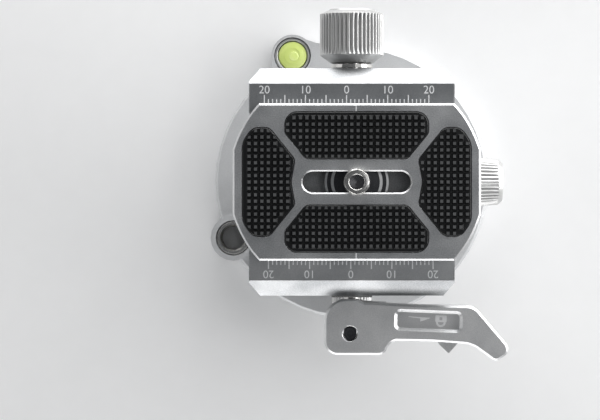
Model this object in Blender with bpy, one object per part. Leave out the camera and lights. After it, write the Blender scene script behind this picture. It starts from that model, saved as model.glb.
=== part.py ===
# Compact tripod ball head with a lever clamp and a camera plate that slides in its dovetail.
# Lengths are in millimetres and become metres when a mesh is made. +Z is up. The origin is where
# the panning axis meets the underside of the base.

import bpy
import bmesh
import math
from mathutils import Matrix, Vector

MM = 0.001
GAP = 0.3                   # clearance between two pieces that touch or slide
THREAD_GAP = 0.3            # clearance between a screw and its hole

# Base
BASE_RADIUS = 37.8
BASE_THICKNESS = 8.0
BASE_CHAMFER = 0.7
SPIGOT_RADIUS = 12.0
SPIGOT_HEIGHT = 11.5
BUSH_RADIUS = 7.5           # steel bush for the tripod's 3/8 inch stud
BUSH_BORE = 4.76
BUSH_HEIGHT = 12.8
EAR_X, EAR_Y = -16.4, 35.0  # bullseye level
EAR_RADIUS = 5.8
EAR_RISE = 0.8
LEVEL_RADIUS = 3.9
LEVEL_CUP_WALL = 0.6
LEVEL_DEPTH = 5.0
PORT_X, PORT_Y = -32.8, -15.5   # 1/4 inch accessory port
PORT_RADIUS = 6.3
PORT_RISE = 0.9
PORT_BORE = 3.18
PORT_BUSH_RADIUS = 4.6
PORT_FLOOR = 1.2

# Panning joint
WASHER_THICKNESS = 0.8
WASHER_RADIUS = 20.0
RETAINER_RADIUS = 15.0
RETAINER_THICKNESS = 2.0
RETAINER_SCREW_RADIUS = 2.4
SCREW_HEAD_RADIUS = 4.5
SCREW_HEAD_HEIGHT = 2.2
RETAINER_SCREW_LENGTH = 8.0
PAN_AXIS_HEIGHT = 15.0      # height of the pan lock's screw
PAN_BOSS_RADIUS = 5.0
PAN_SHOE_RADIUS = 2.6
PAN_SHOE_LENGTH = 4.0
PAN_SCREW_RADIUS = 2.5
PAN_KNOB_RADIUS = 5.5
PAN_KNOB_LENGTH = 11.0

# Ball and housing
BALL_RADIUS = 17.0
HOUSING_WALL = 6.5          # from the ball's surface to the housing's outside
HOUSING_SHOULDER = 2.5
WEDGE_BORE = 9.0
WEDGE_HEIGHT = 7.4
SEAT_WEB = 2.4
SEAT_HEIGHT_SHARE = 0.5     # the seat reaches this share of the ball's radius below its centre
SEAT_HOLE_SHARE = 0.5       # radius of the seat's hole, as a share of the ball's
COLLAR_FOOT = 1.7           # how far the collar starts below the ball's centre
COLLAR_OPENING_HEIGHT = 8.0     # height of the collar's lip above the ball's centre
HOUSING_ABOVE_BALL = 6.0
COLLAR_RIM = 3.2
COLLAR_WALL = 1.2
COLLAR_WIDTH = 3.5          # from the ball's surface to the collar's outside
LOCK_PISTON_RADIUS = 2.6
LOCK_SCREW_RADIUS = 3.0
LOCK_BOSS_RADIUS = 6.5
LOCK_KNOB_RADIUS = 7.0
LOCK_KNOB_TIP = 5.8
LOCK_KNOB_LENGTH = 13.6
BOSS_PROUD = 3.0            # how far both knobs' bosses stand out of the housing
STEM_RADIUS = 6.5
STEM_LENGTH = 5.0
FLANGE_RADIUS = 11.0
FLANGE_THICKNESS = 2.2
STUD_RADIUS = 4.0
STUD_HEIGHT = 3.8

# Camera plate
PLATE_LENGTH = 60.0
PLATE_WIDTH = 38.0
PLATE_THICKNESS = 9.0
PLATE_SHIFT = 1.2           # how far the plate is slid along +X
PLATE_SIDE_FLAT = 23.6      # half-length of the straight side
PLATE_END_FLAT = 7.8        # half-width of the straight end
PLATE_CORNER_BULGE = 0.9
FOOT_HEIGHT = 1.4
FLANK_HEIGHT = 2.6
NECK_HEIGHT = 1.6
SLOT_HALF_LENGTH = 13.1
SLOT_HALF_WIDTH = 2.55
PAD_DEPTH = 1.2
PAD_THICKNESS = 1.4
CAMERA_SCREW_RADIUS = 3.17
CAMERA_SCREW_RISE = 4.5
SCREW_SLOT_CLEARANCE = 0.35     # between the screw's neck and each side of the slot
CAMERA_SCREW_HEAD = 5.8
CAMERA_SCREW_HOLLOW = 1.85
SCREW_WASHER_RADIUS = 7.8
SCREW_WASHER_THICKNESS = 1.0
WEB_THICKNESS = 3.0
STOP_X, STOP_Y = 10.0, 12.0
STOP_RADIUS = 2.2
STOP_TRAVEL = 7.5

# Clamp
CLAMP_LENGTH = 50.0
CLAMP_FLOOR = 10.5
JAW_WIDTH = 8.5             # from the plate's side to the clamp's outer face
JAW_BEVEL = 3.85
JAW_CORNER_X, JAW_CORNER_Y = 2.6, 3.3
JAW_BELOW_PLATE = 0.4
SPLIT_Y = -15.2             # face of the moving jaw that meets the clamp's body
DRAWBAR_RADIUS = 2.0
DRAWBAR_HEIGHT = 6.7        # drawbar's axis above the clamp's underside
GUIDE_X = 16.0
GUIDE_RADIUS = 1.5
SPRING_RADIUS = 2.6
SHOE_HALF_LENGTH = 5.0
SHOE_PROUD = 0.5
SHOE_THICKNESS = 1.4
TENSION_KNOB_RADIUS = 7.9
TENSION_KNOB_LENGTH = 13.4

# Lever
PIN_X = -0.4
PIN_TO_JAW = 9.2            # from the clamp's outer face to the lever's pin
PIN_RADIUS = 1.55
EYE_RADIUS = 4.3
LEVER_BELOW_JAW = 2.0
LEVER_EAR = 3.5
CAM_OFFSET = 3.1            # from the pin to the cam's centre
CAM_RADIUS = 5.25
ARM_THICKNESS = 6.5
LABEL_DEPTH = 0.4
SLIDER_THICKNESS = 3.4
SLIDER_TRAVEL = 3.0

# Heights that follow
spigot_top = BASE_THICKNESS + SPIGOT_HEIGHT
housing_bottom = BASE_THICKNESS + WASHER_THICKNESS + 2 * GAP
retainer_bottom = spigot_top + GAP
retainer_top = retainer_bottom + RETAINER_THICKNESS
screw_head_top = retainer_top + GAP + SCREW_HEAD_HEIGHT
wedge_bottom = screw_head_top + GAP
wedge_top = wedge_bottom + WEDGE_HEIGHT
seat_bottom = wedge_top + GAP
ball_height = seat_bottom + SEAT_WEB + GAP + BALL_RADIUS
seat_top = ball_height - SEAT_HEIGHT_SHARE * BALL_RADIUS
collar_bottom = ball_height - COLLAR_FOOT
housing_top = ball_height + HOUSING_ABOVE_BALL
collar_top = housing_top + GAP + COLLAR_RIM
lock_height = wedge_bottom + WEDGE_HEIGHT / 2
flange_bottom = ball_height + BALL_RADIUS + STEM_LENGTH
flange_top = flange_bottom + FLANGE_THICKNESS
stud_top = flange_top + STUD_HEIGHT
clamp_bottom = flange_top + GAP
floor_top = clamp_bottom + CLAMP_FLOOR
drawbar_height = clamp_bottom + DRAWBAR_HEIGHT
plate_bottom = floor_top + GAP
plate_top = plate_bottom + PLATE_THICKNESS
flange_under = plate_bottom + FOOT_HEIGHT + FLANK_HEIGHT + NECK_HEIGHT
jaw_top = flange_under - JAW_BELOW_PLATE
web_bottom = plate_top - WEB_THICKNESS
lever_top = jaw_top - LEVER_BELOW_JAW

# Radii and offsets that follow
ball_clear = BALL_RADIUS + GAP
housing_radius = BALL_RADIUS + HOUSING_WALL
collar_radius = BALL_RADIUS + COLLAR_WIDTH
boss_reach = housing_radius + BOSS_PROUD
lock_knob_end = boss_reach + GAP + LOCK_KNOB_LENGTH
cup_radius = BALL_RADIUS + 0.4      # bore of the housing
seat_radius = cup_radius - GAP
plate_half = PLATE_WIDTH / 2
neck_half = plate_half - FLANK_HEIGHT
clamp_half = plate_half + JAW_WIDTH + GAP
pin_y = -clamp_half - PIN_TO_JAW
eye_thickness = 2 * DRAWBAR_RADIUS
lever_bottom = drawbar_height - eye_thickness / 2 - GAP - LEVER_EAR
drawbar_hole = DRAWBAR_RADIUS + GAP
screw_neck = SLOT_HALF_WIDTH - SCREW_SLOT_CLEARANCE
lock_screw_start = housing_radius - 2.5

ROUND = 36
FINE = 20


# Materials and meshes

def linear(hex_colour):
    channels = [int(hex_colour[i:i + 2], 16) / 255 for i in (0, 2, 4)]
    return [c / 12.92 if c <= 0.04045 else ((c + 0.055) / 1.055) ** 2.4 for c in channels] + [1.0]


FINISHES = {
    "anodised": ("9A9B9C", 0.42, 0.9),
    "knob": ("A9A9A9", 0.35, 0.95),
    "steel": ("B9B9B7", 0.25, 1.0),
    "black_steel": ("2B2B2C", 0.4, 0.9),
    "rubber": ("17181A", 0.8, 0.0),
    "acetal": ("D8D6CC", 0.5, 0.0),
    "brass": ("B59A58", 0.35, 1.0),
    "vial": ("C6E04A", 0.15, 0.0),
    "satin_ball": ("8D8E90", 0.3, 0.95),
}


def finish(piece, kind):
    colour, roughness, metallic = FINISHES[kind]
    material = bpy.data.materials.new(piece.name + "_" + kind)
    material.use_nodes = True
    shader = material.node_tree.nodes["Principled BSDF"]
    shader.inputs["Base Color"].default_value = linear(colour)
    shader.inputs["Roughness"].default_value = roughness
    shader.inputs["Metallic"].default_value = metallic
    piece.data.materials.append(material)
    return piece


def make_piece(name, bm):
    """Turn a bmesh in millimetres into an object in metres, with its faces pointing out."""
    bmesh.ops.recalc_face_normals(bm, faces=bm.faces)
    bmesh.ops.scale(bm, vec=(MM, MM, MM), verts=bm.verts)
    mesh = bpy.data.meshes.new(name)
    bm.to_mesh(mesh)
    bm.free()
    piece = bpy.data.objects.new(name, mesh)
    bpy.context.scene.collection.objects.link(piece)
    return piece


def on_axis(axis, u, v, w):
    """A point whose distance along the axis is w, with u and v across it."""
    return {"X": (w, u, v), "Y": (u, w, v), "Z": (u, v, w)}[axis]


def prism(name, outline, low, high, axis="Z"):
    """A straight solid: the outline is (x, y) along Z, (y, z) along X and (x, z) along Y."""
    bm = bmesh.new()
    ends = [[bm.verts.new(on_axis(axis, u, v, w)) for u, v in outline] for w in (low, high)]
    bm.faces.new(ends[0])
    bm.faces.new(ends[1])
    count = len(outline)
    for i in range(count):
        j = (i + 1) % count
        bm.faces.new((ends[0][i], ends[0][j], ends[1][j], ends[1][i]))
    return make_piece(name, bm)


def turned(name, profile, axis="Z", at=(0, 0, 0), steps=ROUND, flutes=None):
    """A closed profile of (radius, height) turned about an axis through the point `at`.

    flutes is (count, depth, low, high): the grip's outer rings between those heights are grooved.
    """
    grip = 0
    if flutes:
        steps = 2 * flutes[0]
        grip = 0.7 * max(radius for radius, height in profile)
    bm = bmesh.new()
    rings = []
    phase = 0.0 if axis == "Z" else 0.5     # keeps a cross hole's corners off the edges it meets
    for radius, height in profile:
        if radius == 0:
            rings.append([bm.verts.new(Vector(on_axis(axis, 0, 0, height)) + Vector(at))])
            continue
        ring = []
        for i in range(steps):
            r = radius
            if flutes and i % 2 and radius > grip and flutes[2] <= height <= flutes[3]:
                r = radius - flutes[1]
            angle = 2 * math.pi * (i + phase) / steps
            point = on_axis(axis, r * math.cos(angle), r * math.sin(angle), height)
            ring.append(bm.verts.new(Vector(point) + Vector(at)))
        rings.append(ring)
    for a, b in zip(rings, rings[1:] + rings[:1]):
        for i in range(steps):
            j = (i + 1) % steps
            if len(a) > 1 and len(b) > 1:
                bm.faces.new((a[i], a[j], b[j], b[i]))
            elif len(a) > 1:
                bm.faces.new((a[i], a[j], b[0]))
            elif len(b) > 1:
                bm.faces.new((a[0], b[j], b[i]))
    return make_piece(name, bm)


def rod(name, radius, low, high, axis="Z", at=(0, 0, 0), steps=FINE):
    return turned(name, [(0, low), (radius, low), (radius, high), (0, high)], axis, at, steps)


def tube(name, inner, outer, low, high, axis="Z", at=(0, 0, 0), steps=FINE):
    profile = [(inner, low), (outer, low), (outer, high), (inner, high)]
    return turned(name, profile, axis, at, steps)


def block(name, x, y, z):
    return prism(name, [(x[0], y[0]), (x[1], y[0]), (x[1], y[1]), (x[0], y[1])], z[0], z[1])


def boolean(piece, operation, others):
    """Add solids to the piece's last Boolean, or start one where the operation is another."""
    last = piece.modifiers[-1] if piece.modifiers else None
    if not last or last.operation != operation:
        last = piece.modifiers.new(operation.lower(), "BOOLEAN")
        last.operation = operation
        last.operand_type = "COLLECTION"
        last.collection = bpy.data.collections.new(piece.name + "_" + operation.lower())
        bpy.context.scene.collection.children.link(last.collection)
    for other in others:
        last.collection.objects.link(other)
        other.hide_render = True
        other.display_type = "WIRE"
    return piece


def cut(piece, *others):
    return boolean(piece, "DIFFERENCE", others)


def join(piece, *others):
    return boolean(piece, "UNION", others)


def keep_inside(piece, *others):
    return boolean(piece, "INTERSECT", others)


# Outlines

def arc(centre, radius, start, end, steps):
    """Points on a circle from one angle to another, in degrees."""
    points = []
    for i in range(steps + 1):
        angle = math.radians(start + (end - start) * i / steps)
        points.append((centre[0] + radius * math.cos(angle), centre[1] + radius * math.sin(angle)))
    return points


def rounded(corners, steps=4):
    """An outline from corners (x, y, radius), with an arc at each corner that has a radius."""
    points = []
    for i, (x, y, radius) in enumerate(corners):
        here = Vector((x, y))
        if radius == 0:
            points.append((x, y))
            continue
        before = (Vector(corners[i - 1][:2]) - here).normalized()
        after = (Vector(corners[(i + 1) % len(corners)][:2]) - here).normalized()
        half = before.angle(after) / 2
        centre = here + (before + after).normalized() * radius / math.sin(half)
        reach = radius / math.tan(half)
        first = here + before * reach - centre
        last = here + after * reach - centre
        turn = first.angle_signed(last)
        for k in range(steps + 1):
            angle = -turn * k / steps
            spot = centre + Matrix.Rotation(angle, 2) @ first
            points.append((spot.x, spot.y))
    return points


def slot_outline(half_length, half_width, at=(0, 0), steps=8):
    """A straight slot along X with round ends."""
    straight = half_length - half_width
    right = arc((at[0] + straight, at[1]), half_width, -90, 90, steps)
    left = arc((at[0] - straight, at[1]), half_width, 90, 270, steps)
    return right + left


def mirrored(outline, x=1, y=1, shift=0):
    return [(shift + x * u, y * v) for u, v in outline]


# Joint axes: each moving piece hangs on an empty that stands on its axis.

def pivot(name, at, parent=None):
    empty = bpy.data.objects.new(name, None)
    empty.empty_display_size = 5 * MM
    bpy.context.scene.collection.objects.link(empty)
    empty.location = Vector(at) * MM
    if parent:
        empty.parent = parent
        empty.location -= axis_place[parent.name]
    axis_place[name] = Vector(at) * MM
    return empty


def hang(parent, *pieces):
    """Give each piece its origin on the axis, and parent it there."""
    for piece in pieces:
        piece.data.transform(Matrix.Translation(-axis_place[parent.name]))
        piece.parent = parent


axis_place = {}


# Base

def ear_outline():
    """The level's round ear, with a flank that runs out into the base's edge."""
    outline = arc((EAR_X, EAR_Y), EAR_RADIUS, 50, 180, 12)
    left = (EAR_X - EAR_RADIUS, EAR_Y - EAR_RADIUS)
    inside = (EAR_X + EAR_RADIUS, EAR_Y - EAR_RADIUS - 2)
    edge = arc((0, 0), BASE_RADIUS - 0.2, 86, 96, 2)
    flank = (EAR_X + 1.1 * EAR_RADIUS, EAR_Y + 0.62 * EAR_RADIUS)
    return outline + [left, inside] + edge + [flank]


def make_base():
    hole = BUSH_RADIUS + GAP
    screw_hole = RETAINER_SCREW_RADIUS + THREAD_GAP
    bush_top = BUSH_HEIGHT + 2 * GAP
    base = turned("base_plate", [
        (hole, 0), (BASE_RADIUS - BASE_CHAMFER, 0), (BASE_RADIUS, BASE_CHAMFER),
        (BASE_RADIUS, BASE_THICKNESS - BASE_CHAMFER),
        (BASE_RADIUS - BASE_CHAMFER, BASE_THICKNESS), (SPIGOT_RADIUS, BASE_THICKNESS),
        (SPIGOT_RADIUS, spigot_top), (screw_hole, spigot_top), (screw_hole, bush_top),
        (hole, bush_top)], steps=48)
    ear_top = BASE_THICKNESS + EAR_RISE
    port_top = BASE_THICKNESS + PORT_RISE
    cup_hole = LEVEL_RADIUS + LEVEL_CUP_WALL + 2 * GAP
    ear = prism("ear_body", ear_outline(), 1.1, ear_top)
    boss = rod("port_boss", PORT_RADIUS, 0.9, port_top, at=(PORT_X, PORT_Y, 0))
    recess = rod("level_recess", cup_hole, ear_top - LEVEL_DEPTH, ear_top + 1,
                 at=(EAR_X, EAR_Y, 0))
    port_hole = rod("port_hole", PORT_BUSH_RADIUS + GAP, PORT_FLOOR, port_top + 1,
                    at=(PORT_X, PORT_Y, 0))
    cut(join(base, ear, boss), recess, port_hole)

    bush = tube("thread_bush", BUSH_BORE, BUSH_RADIUS, 0.2, BUSH_HEIGHT)
    port_bush = tube("accessory_bush", PORT_BORE, PORT_BUSH_RADIUS, PORT_FLOOR + GAP,
                     port_top - 0.3, at=(PORT_X, PORT_Y, 0))
    cup_floor = ear_top - LEVEL_DEPTH + GAP
    cup_radius_out = LEVEL_RADIUS + GAP + LEVEL_CUP_WALL
    cup_inner = LEVEL_RADIUS + GAP
    cup = turned("level_cup", [
        (0, cup_floor), (cup_radius_out, cup_floor), (cup_radius_out, ear_top - 0.3),
        (cup_inner, ear_top - 0.3), (cup_inner, cup_floor + 0.8), (0, cup_floor + 0.8)],
        at=(EAR_X, EAR_Y, 0), steps=FINE)
    vial_floor = cup_floor + 0.8 + GAP
    dome = [(LEVEL_RADIUS * math.cos(a), ear_top - 0.7 + 0.6 * math.sin(a))
            for a in (0, math.pi / 6, math.pi / 3)]
    vial = turned("level_vial", [(0, vial_floor), (LEVEL_RADIUS, vial_floor)] + dome
                  + [(0, ear_top - 0.1)], at=(EAR_X, EAR_Y, 0), steps=FINE)
    washer = tube("pan_washer", SPIGOT_RADIUS + GAP, WASHER_RADIUS, BASE_THICKNESS + GAP,
                  BASE_THICKNESS + GAP + WASHER_THICKNESS, steps=ROUND)
    retainer = tube("pan_retainer", RETAINER_SCREW_RADIUS + GAP, RETAINER_RADIUS,
                    retainer_bottom, retainer_top, steps=ROUND)
    head_bottom = retainer_top + GAP
    socket = 0.45 * SCREW_HEAD_RADIUS
    screw = turned("retainer_screw", [
        (0, head_bottom - RETAINER_SCREW_LENGTH), (RETAINER_SCREW_RADIUS,
                                                   head_bottom - RETAINER_SCREW_LENGTH),
        (RETAINER_SCREW_RADIUS, head_bottom), (SCREW_HEAD_RADIUS, head_bottom),
        (SCREW_HEAD_RADIUS, screw_head_top), (socket, screw_head_top),
        (socket, screw_head_top - 1.2), (0, screw_head_top - 1.2)], steps=FINE)
    finish(base, "anodised")
    finish(bush, "steel")
    finish(port_bush, "steel")
    finish(cup, "knob")
    finish(vial, "vial")
    finish(washer, "acetal")
    finish(retainer, "steel")
    finish(screw, "black_steel")
    hang(base_frame, base, bush, port_bush, cup, vial, washer, retainer, screw)


# Housing with the ball's seat and collar

def sphere_points(radius, low, high, steps):
    """Points (radius, height) on a sphere about the ball's centre, from one height to another."""
    start, end = math.asin(low / radius), math.asin(high / radius)
    angles = [start + (end - start) * i / steps for i in range(steps + 1)]
    return [(radius * math.cos(a), ball_height + radius * math.sin(a)) for a in angles]


def make_housing():
    bore = SPIGOT_RADIUS + GAP
    ledge = RETAINER_RADIUS + 2 * GAP
    shoulder = wedge_bottom - GAP
    thread_radius = cup_radius + COLLAR_WALL + GAP
    profile = [
        (bore, housing_bottom), (housing_radius - 1, housing_bottom),
        (housing_radius, housing_bottom + 1),
        (housing_radius, housing_top - HOUSING_SHOULDER),
        (housing_radius - HOUSING_SHOULDER, housing_top), (thread_radius, housing_top),
        (thread_radius, collar_bottom - GAP), (cup_radius, collar_bottom - GAP),
        (cup_radius, shoulder), (ledge, shoulder), (ledge, spigot_top), (bore, spigot_top)]
    housing = turned("housing", profile)
    wall = (housing_radius + cup_radius) / 2
    pan_wall = (housing_radius + bore) / 2
    lock_boss = rod("lock_boss", LOCK_BOSS_RADIUS, wall, boss_reach, "X",
                    (0, 0, lock_height))
    pan_boss = rod("pan_boss", PAN_BOSS_RADIUS, -boss_reach, -pan_wall, "Y",
                   (0, 0, PAN_AXIS_HEIGHT))
    lock_bore = rod("lock_bore", LOCK_SCREW_RADIUS + THREAD_GAP, cup_radius - 2,
                    boss_reach + 1, "X", (0, 0, lock_height))
    pan_bore = rod("pan_bore", PAN_SHOE_RADIUS + GAP, -boss_reach - 1, -bore + 2, "Y",
                   (0, 0, PAN_AXIS_HEIGHT))
    cut(join(housing, lock_boss, pan_boss), lock_bore, pan_bore)

    wedge = tube("wedge_ring", WEDGE_BORE, seat_radius, wedge_bottom, wedge_top, steps=ROUND)
    pocket = rod("wedge_pocket", LOCK_PISTON_RADIUS + GAP, seat_radius - 3, seat_radius + 1, "X",
                 (0, 0, lock_height))
    cut(wedge, pocket)

    hole = SEAT_HOLE_SHARE * BALL_RADIUS
    cup_low = -math.sqrt(ball_clear ** 2 - hole ** 2)
    seat = turned("ball_seat", [(hole, seat_bottom), (seat_radius, seat_bottom),
                                (seat_radius, seat_top)]
                  + sphere_points(ball_clear, seat_top - ball_height, cup_low, 4), steps=32)
    rim_radius = cup_radius + COLLAR_WALL
    collar = turned("ball_collar", [
        (rim_radius, collar_bottom), (rim_radius, housing_top + GAP),
        (collar_radius, housing_top + GAP), (collar_radius, collar_top - 1),
        (collar_radius - 1, collar_top),
        (BALL_RADIUS - 0.4, collar_top)]
        + sphere_points(ball_clear, COLLAR_OPENING_HEIGHT, -COLLAR_FOOT, 4), steps=32)
    notches = [block("spanner_notch_x", (-30, 30), (-1.5, 1.5), (collar_top - 1.2, collar_top + 2)),
               block("spanner_notch_y", (-1.5, 1.5), (-30, 30), (collar_top - 1.2, collar_top + 2))]
    cut(collar, *notches)
    finish(housing, "anodised")
    finish(wedge, "brass")
    finish(seat, "acetal")
    finish(collar, "anodised")
    hang(pan_axis, housing, wedge, seat, collar)


def knob_profile(bore, start, end, neck, radius, tip, bore_end):
    """Cone, fluted grip, chamfer and shallow end disc, as (radius, distance) along the axis."""
    return [(bore, start), (neck, start), (radius, start + 2.0), (radius, end - 1.4),
            (tip, end - 0.4), (tip - 0.4, end), (0, end), (0, bore_end), (bore, bore_end)]


def make_locks():
    tip = seat_radius - 3 + GAP
    piston_end = lock_screw_start - 1.0
    piston = rod("lock_piston", LOCK_PISTON_RADIUS, tip, piston_end, "X", (0, 0, lock_height))
    knob_start = boss_reach + GAP
    hole_end = lock_knob_end - 1.6
    screw = rod("lock_screw", LOCK_SCREW_RADIUS, piston_end + 2 * GAP, hole_end - GAP, "X",
                (0, 0, lock_height))
    knob = turned("lock_knob", [
        (LOCK_SCREW_RADIUS + GAP, knob_start), (LOCK_KNOB_TIP, knob_start),
        (LOCK_KNOB_RADIUS, knob_start + 1.5), (LOCK_KNOB_TIP + 0.3, lock_knob_end - 1),
        (LOCK_KNOB_TIP - 0.7, lock_knob_end), (0, lock_knob_end), (0, hole_end),
        (LOCK_SCREW_RADIUS + GAP, hole_end)], "X", (0, 0, lock_height),
        flutes=(16, 0.35, knob_start + 1.4, lock_knob_end - 0.9))
    finish(piston, "brass")
    finish(screw, "steel")
    finish(knob, "knob")
    hang(lock_axis, screw, knob)
    hang(piston_axis, piston)

    shoe_tip = SPIGOT_RADIUS + 2 * GAP
    shoe_end = shoe_tip + PAN_SHOE_LENGTH
    shoe = rod("pan_shoe", PAN_SHOE_RADIUS, -shoe_end, -shoe_tip, "Y", (0, 0, PAN_AXIS_HEIGHT))
    start = boss_reach + GAP
    end = start + PAN_KNOB_LENGTH
    pan_screw = rod("pan_screw", PAN_SCREW_RADIUS, -(end - 2), -(shoe_end + 3 * GAP), "Y",
                    (0, 0, PAN_AXIS_HEIGHT))
    profile = knob_profile(PAN_SCREW_RADIUS + GAP, start, end, PAN_KNOB_RADIUS - 1.2,
                           PAN_KNOB_RADIUS, PAN_KNOB_RADIUS - 1, end - 2 + GAP)
    pan_knob = turned("pan_knob", [(r, -h) for r, h in profile], "Y", (0, 0, PAN_AXIS_HEIGHT),
                      flutes=(14, 0.3, -(end - 1.3), -(start + 1.9)))
    finish(shoe, "acetal")
    finish(pan_screw, "steel")
    finish(pan_knob, "knob")
    hang(pan_lock_axis, pan_screw, pan_knob)
    hang(pan_shoe_axis, shoe)


def make_ball():
    points = [(BALL_RADIUS * math.cos(a), ball_height + BALL_RADIUS * math.sin(a))
              for a in [math.radians(-77 + 14 * i) for i in range(12)]]
    ball = turned("ball", [(0, ball_height - BALL_RADIUS)] + points
                  + [(0, ball_height + BALL_RADIUS)], steps=32)
    foot = sphere_points(ball_clear, math.sqrt(ball_clear ** 2 - STEM_RADIUS ** 2),
                         0.985 * ball_clear, 3)
    stem = turned("ball_stem", [(0, ball_height + ball_clear)] + foot[::-1] + [
        (STEM_RADIUS, flange_bottom), (FLANGE_RADIUS, flange_bottom),
        (FLANGE_RADIUS, flange_top), (STUD_RADIUS, flange_top), (STUD_RADIUS, stud_top),
        (0, stud_top)], steps=24)
    finish(ball, "satin_ball")
    finish(stem, "satin_ball")
    hang(tilt_axis, ball)
    hang(lean_axis, stem)


# Clamp

def clamp_plan():
    """The clamp from above: a rectangle with its four outer corners cut off."""
    x, y = CLAMP_LENGTH / 2, clamp_half
    near = [(x, y - JAW_CORNER_Y), (x - JAW_CORNER_X, y)]
    return near + mirrored(near, -1)[::-1] + mirrored(near, -1, -1) + mirrored(near, 1, -1)[::-1]


def jaw_section(side, inner):
    """Section of a jaw across the clamp, from its inner foot out and over its hooked lip."""
    wall = plate_half + GAP
    slope_start = plate_bottom + FOOT_HEIGHT + GAP * (math.sqrt(2) - 1)
    lip = neck_half + 0.35
    return [(inner, clamp_bottom), (side * clamp_half, clamp_bottom),
            (side * clamp_half, jaw_top - JAW_BEVEL),
            (side * (clamp_half - JAW_BEVEL), jaw_top), (side * lip, jaw_top),
            (side * lip, slope_start + wall - lip), (side * wall, slope_start),
            (side * wall, floor_top), (inner, floor_top)]


def make_clamp():
    half = CLAMP_LENGTH / 2
    body_edge = SPLIT_Y + GAP
    body = prism("clamp_body", jaw_section(1, body_edge), -half, half, "X")
    plan = prism("clamp_plan", clamp_plan(), clamp_bottom - 1, jaw_top + 1)
    jaw = prism("moving_jaw", jaw_section(-1, SPLIT_Y), -half, half, "X")
    keep_inside(body, plan)
    keep_inside(jaw, plan)
    at_bar = (0, 0, drawbar_height)
    bar_hole = rod("bar_hole", drawbar_hole, -clamp_half - 5, clamp_half + 5, "Y", at_bar)
    stud_hole = rod("stud_hole", STUD_RADIUS + GAP, clamp_bottom - 1, stud_top + GAP)
    groove_half = STOP_X + STOP_RADIUS + STOP_TRAVEL + GAP
    groove = prism("stop_groove", slot_outline(groove_half + PLATE_SHIFT, STOP_RADIUS + GAP,
                                               (0, STOP_Y)), floor_top - 1.0, floor_top + 1)
    grub_height = clamp_bottom + 1.9
    grub_hole = rod("grub_hole", 1.8, -half - 1, -STUD_RADIUS, "X", (0, 0, grub_height), 16)
    shoe_half = SHOE_HALF_LENGTH + GAP
    shoe_seat = block("shoe_seat", (-shoe_half, shoe_half),
                      (-clamp_half - 1, -clamp_half + SHOE_THICKNESS - SHOE_PROUD + GAP),
                      (lever_bottom - GAP, jaw_top - JAW_BEVEL - 1))
    cut(body, bar_hole, stud_hole, groove, grub_hole)
    cut(jaw, bar_hole, shoe_seat)
    pins = []
    springs = []
    pin_end = -clamp_half + 3.8
    for side in (-1, 1):
        at = (side * GUIDE_X, 0, drawbar_height)
        tag = "left" if side < 0 else "right"
        hole = rod("guide_hole_" + tag, GUIDE_RADIUS + GAP, pin_end - 0.6, 1.3, "Y", at, 16)
        pocket = rod("spring_pocket_" + tag, SPRING_RADIUS + GAP, SPLIT_Y - 3, SPLIT_Y + 3.7, "Y",
                     at, 16)
        cut(body, hole, pocket)
        cut(jaw, hole, pocket)
        pins.append(rod("guide_pin_" + tag, GUIDE_RADIUS, pin_end, 1.0, "Y", at, 16))
        springs.append(tube("jaw_spring_" + tag, GUIDE_RADIUS + GAP, SPRING_RADIUS,
                            SPLIT_Y - 2.7, SPLIT_Y + 3.4, "Y", at, 16))
    grub = rod("stud_grub_screw", 1.5, -16, -STUD_RADIUS - GAP, "X", (0, 0, grub_height), 16)
    washer = tube("knob_washer", drawbar_hole, 5.2, clamp_half + GAP, clamp_half + GAP + 0.8, "Y",
                  at_bar)
    start = clamp_half + 2 * GAP + 0.8
    end = start + TENSION_KNOB_LENGTH
    knob = turned("tension_knob", knob_profile(
        drawbar_hole, start, end, 5.2, TENSION_KNOB_RADIUS, 5.7, end - 1.4), "Y", at_bar,
        flutes=(45, 0.45, start + 1.9, end - 1.3))
    shoe = prism("cam_shoe", [(-SHOE_HALF_LENGTH, lever_bottom),
                              (SHOE_HALF_LENGTH, lever_bottom),
                              (SHOE_HALF_LENGTH, jaw_top - JAW_BEVEL - 1 - GAP),
                              (-SHOE_HALF_LENGTH, jaw_top - JAW_BEVEL - 1 - GAP)],
                 -clamp_half - SHOE_PROUD, -clamp_half + SHOE_THICKNESS - SHOE_PROUD, "Y")
    cut(shoe, rod("shoe_hole", drawbar_hole, -clamp_half - 5, -clamp_half + 5, "Y", at_bar))
    for piece in (body, jaw):
        finish(piece, "anodised")
    for piece in pins + springs + [washer]:
        finish(piece, "steel")
    finish(grub, "black_steel")
    finish(knob, "knob")
    finish(shoe, "steel")
    hang(spin_axis, body, grub, *pins, *springs)
    hang(knob_axis, knob, washer)
    hang(jaw_axis, jaw, shoe)


def make_drawbar():
    at_bar = (0, 0, drawbar_height)
    bar_end = clamp_half + 2 * GAP + 0.8 + TENSION_KNOB_LENGTH - 1.4 - GAP
    bar = rod("drawbar", DRAWBAR_RADIUS, pin_y + EYE_RADIUS - 1.2, bar_end, "Y", at_bar)
    half = eye_thickness / 2
    eye = rod("drawbar_eye", EYE_RADIUS, drawbar_height - half, drawbar_height + half,
              at=(PIN_X, pin_y, 0))
    hole = rod("eye_hole", PIN_RADIUS + GAP, drawbar_height - half - 1, drawbar_height + half + 1,
               at=(PIN_X, pin_y, 0), steps=16)
    cut(join(bar, eye), hole)
    pin = rod("lever_pin", PIN_RADIUS, lever_bottom + GAP, lever_top - GAP,
              at=(PIN_X, pin_y, 0), steps=20)
    finish(bar, "steel")
    finish(pin, "black_steel")
    hang(bar_axis, bar, pin)


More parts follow.
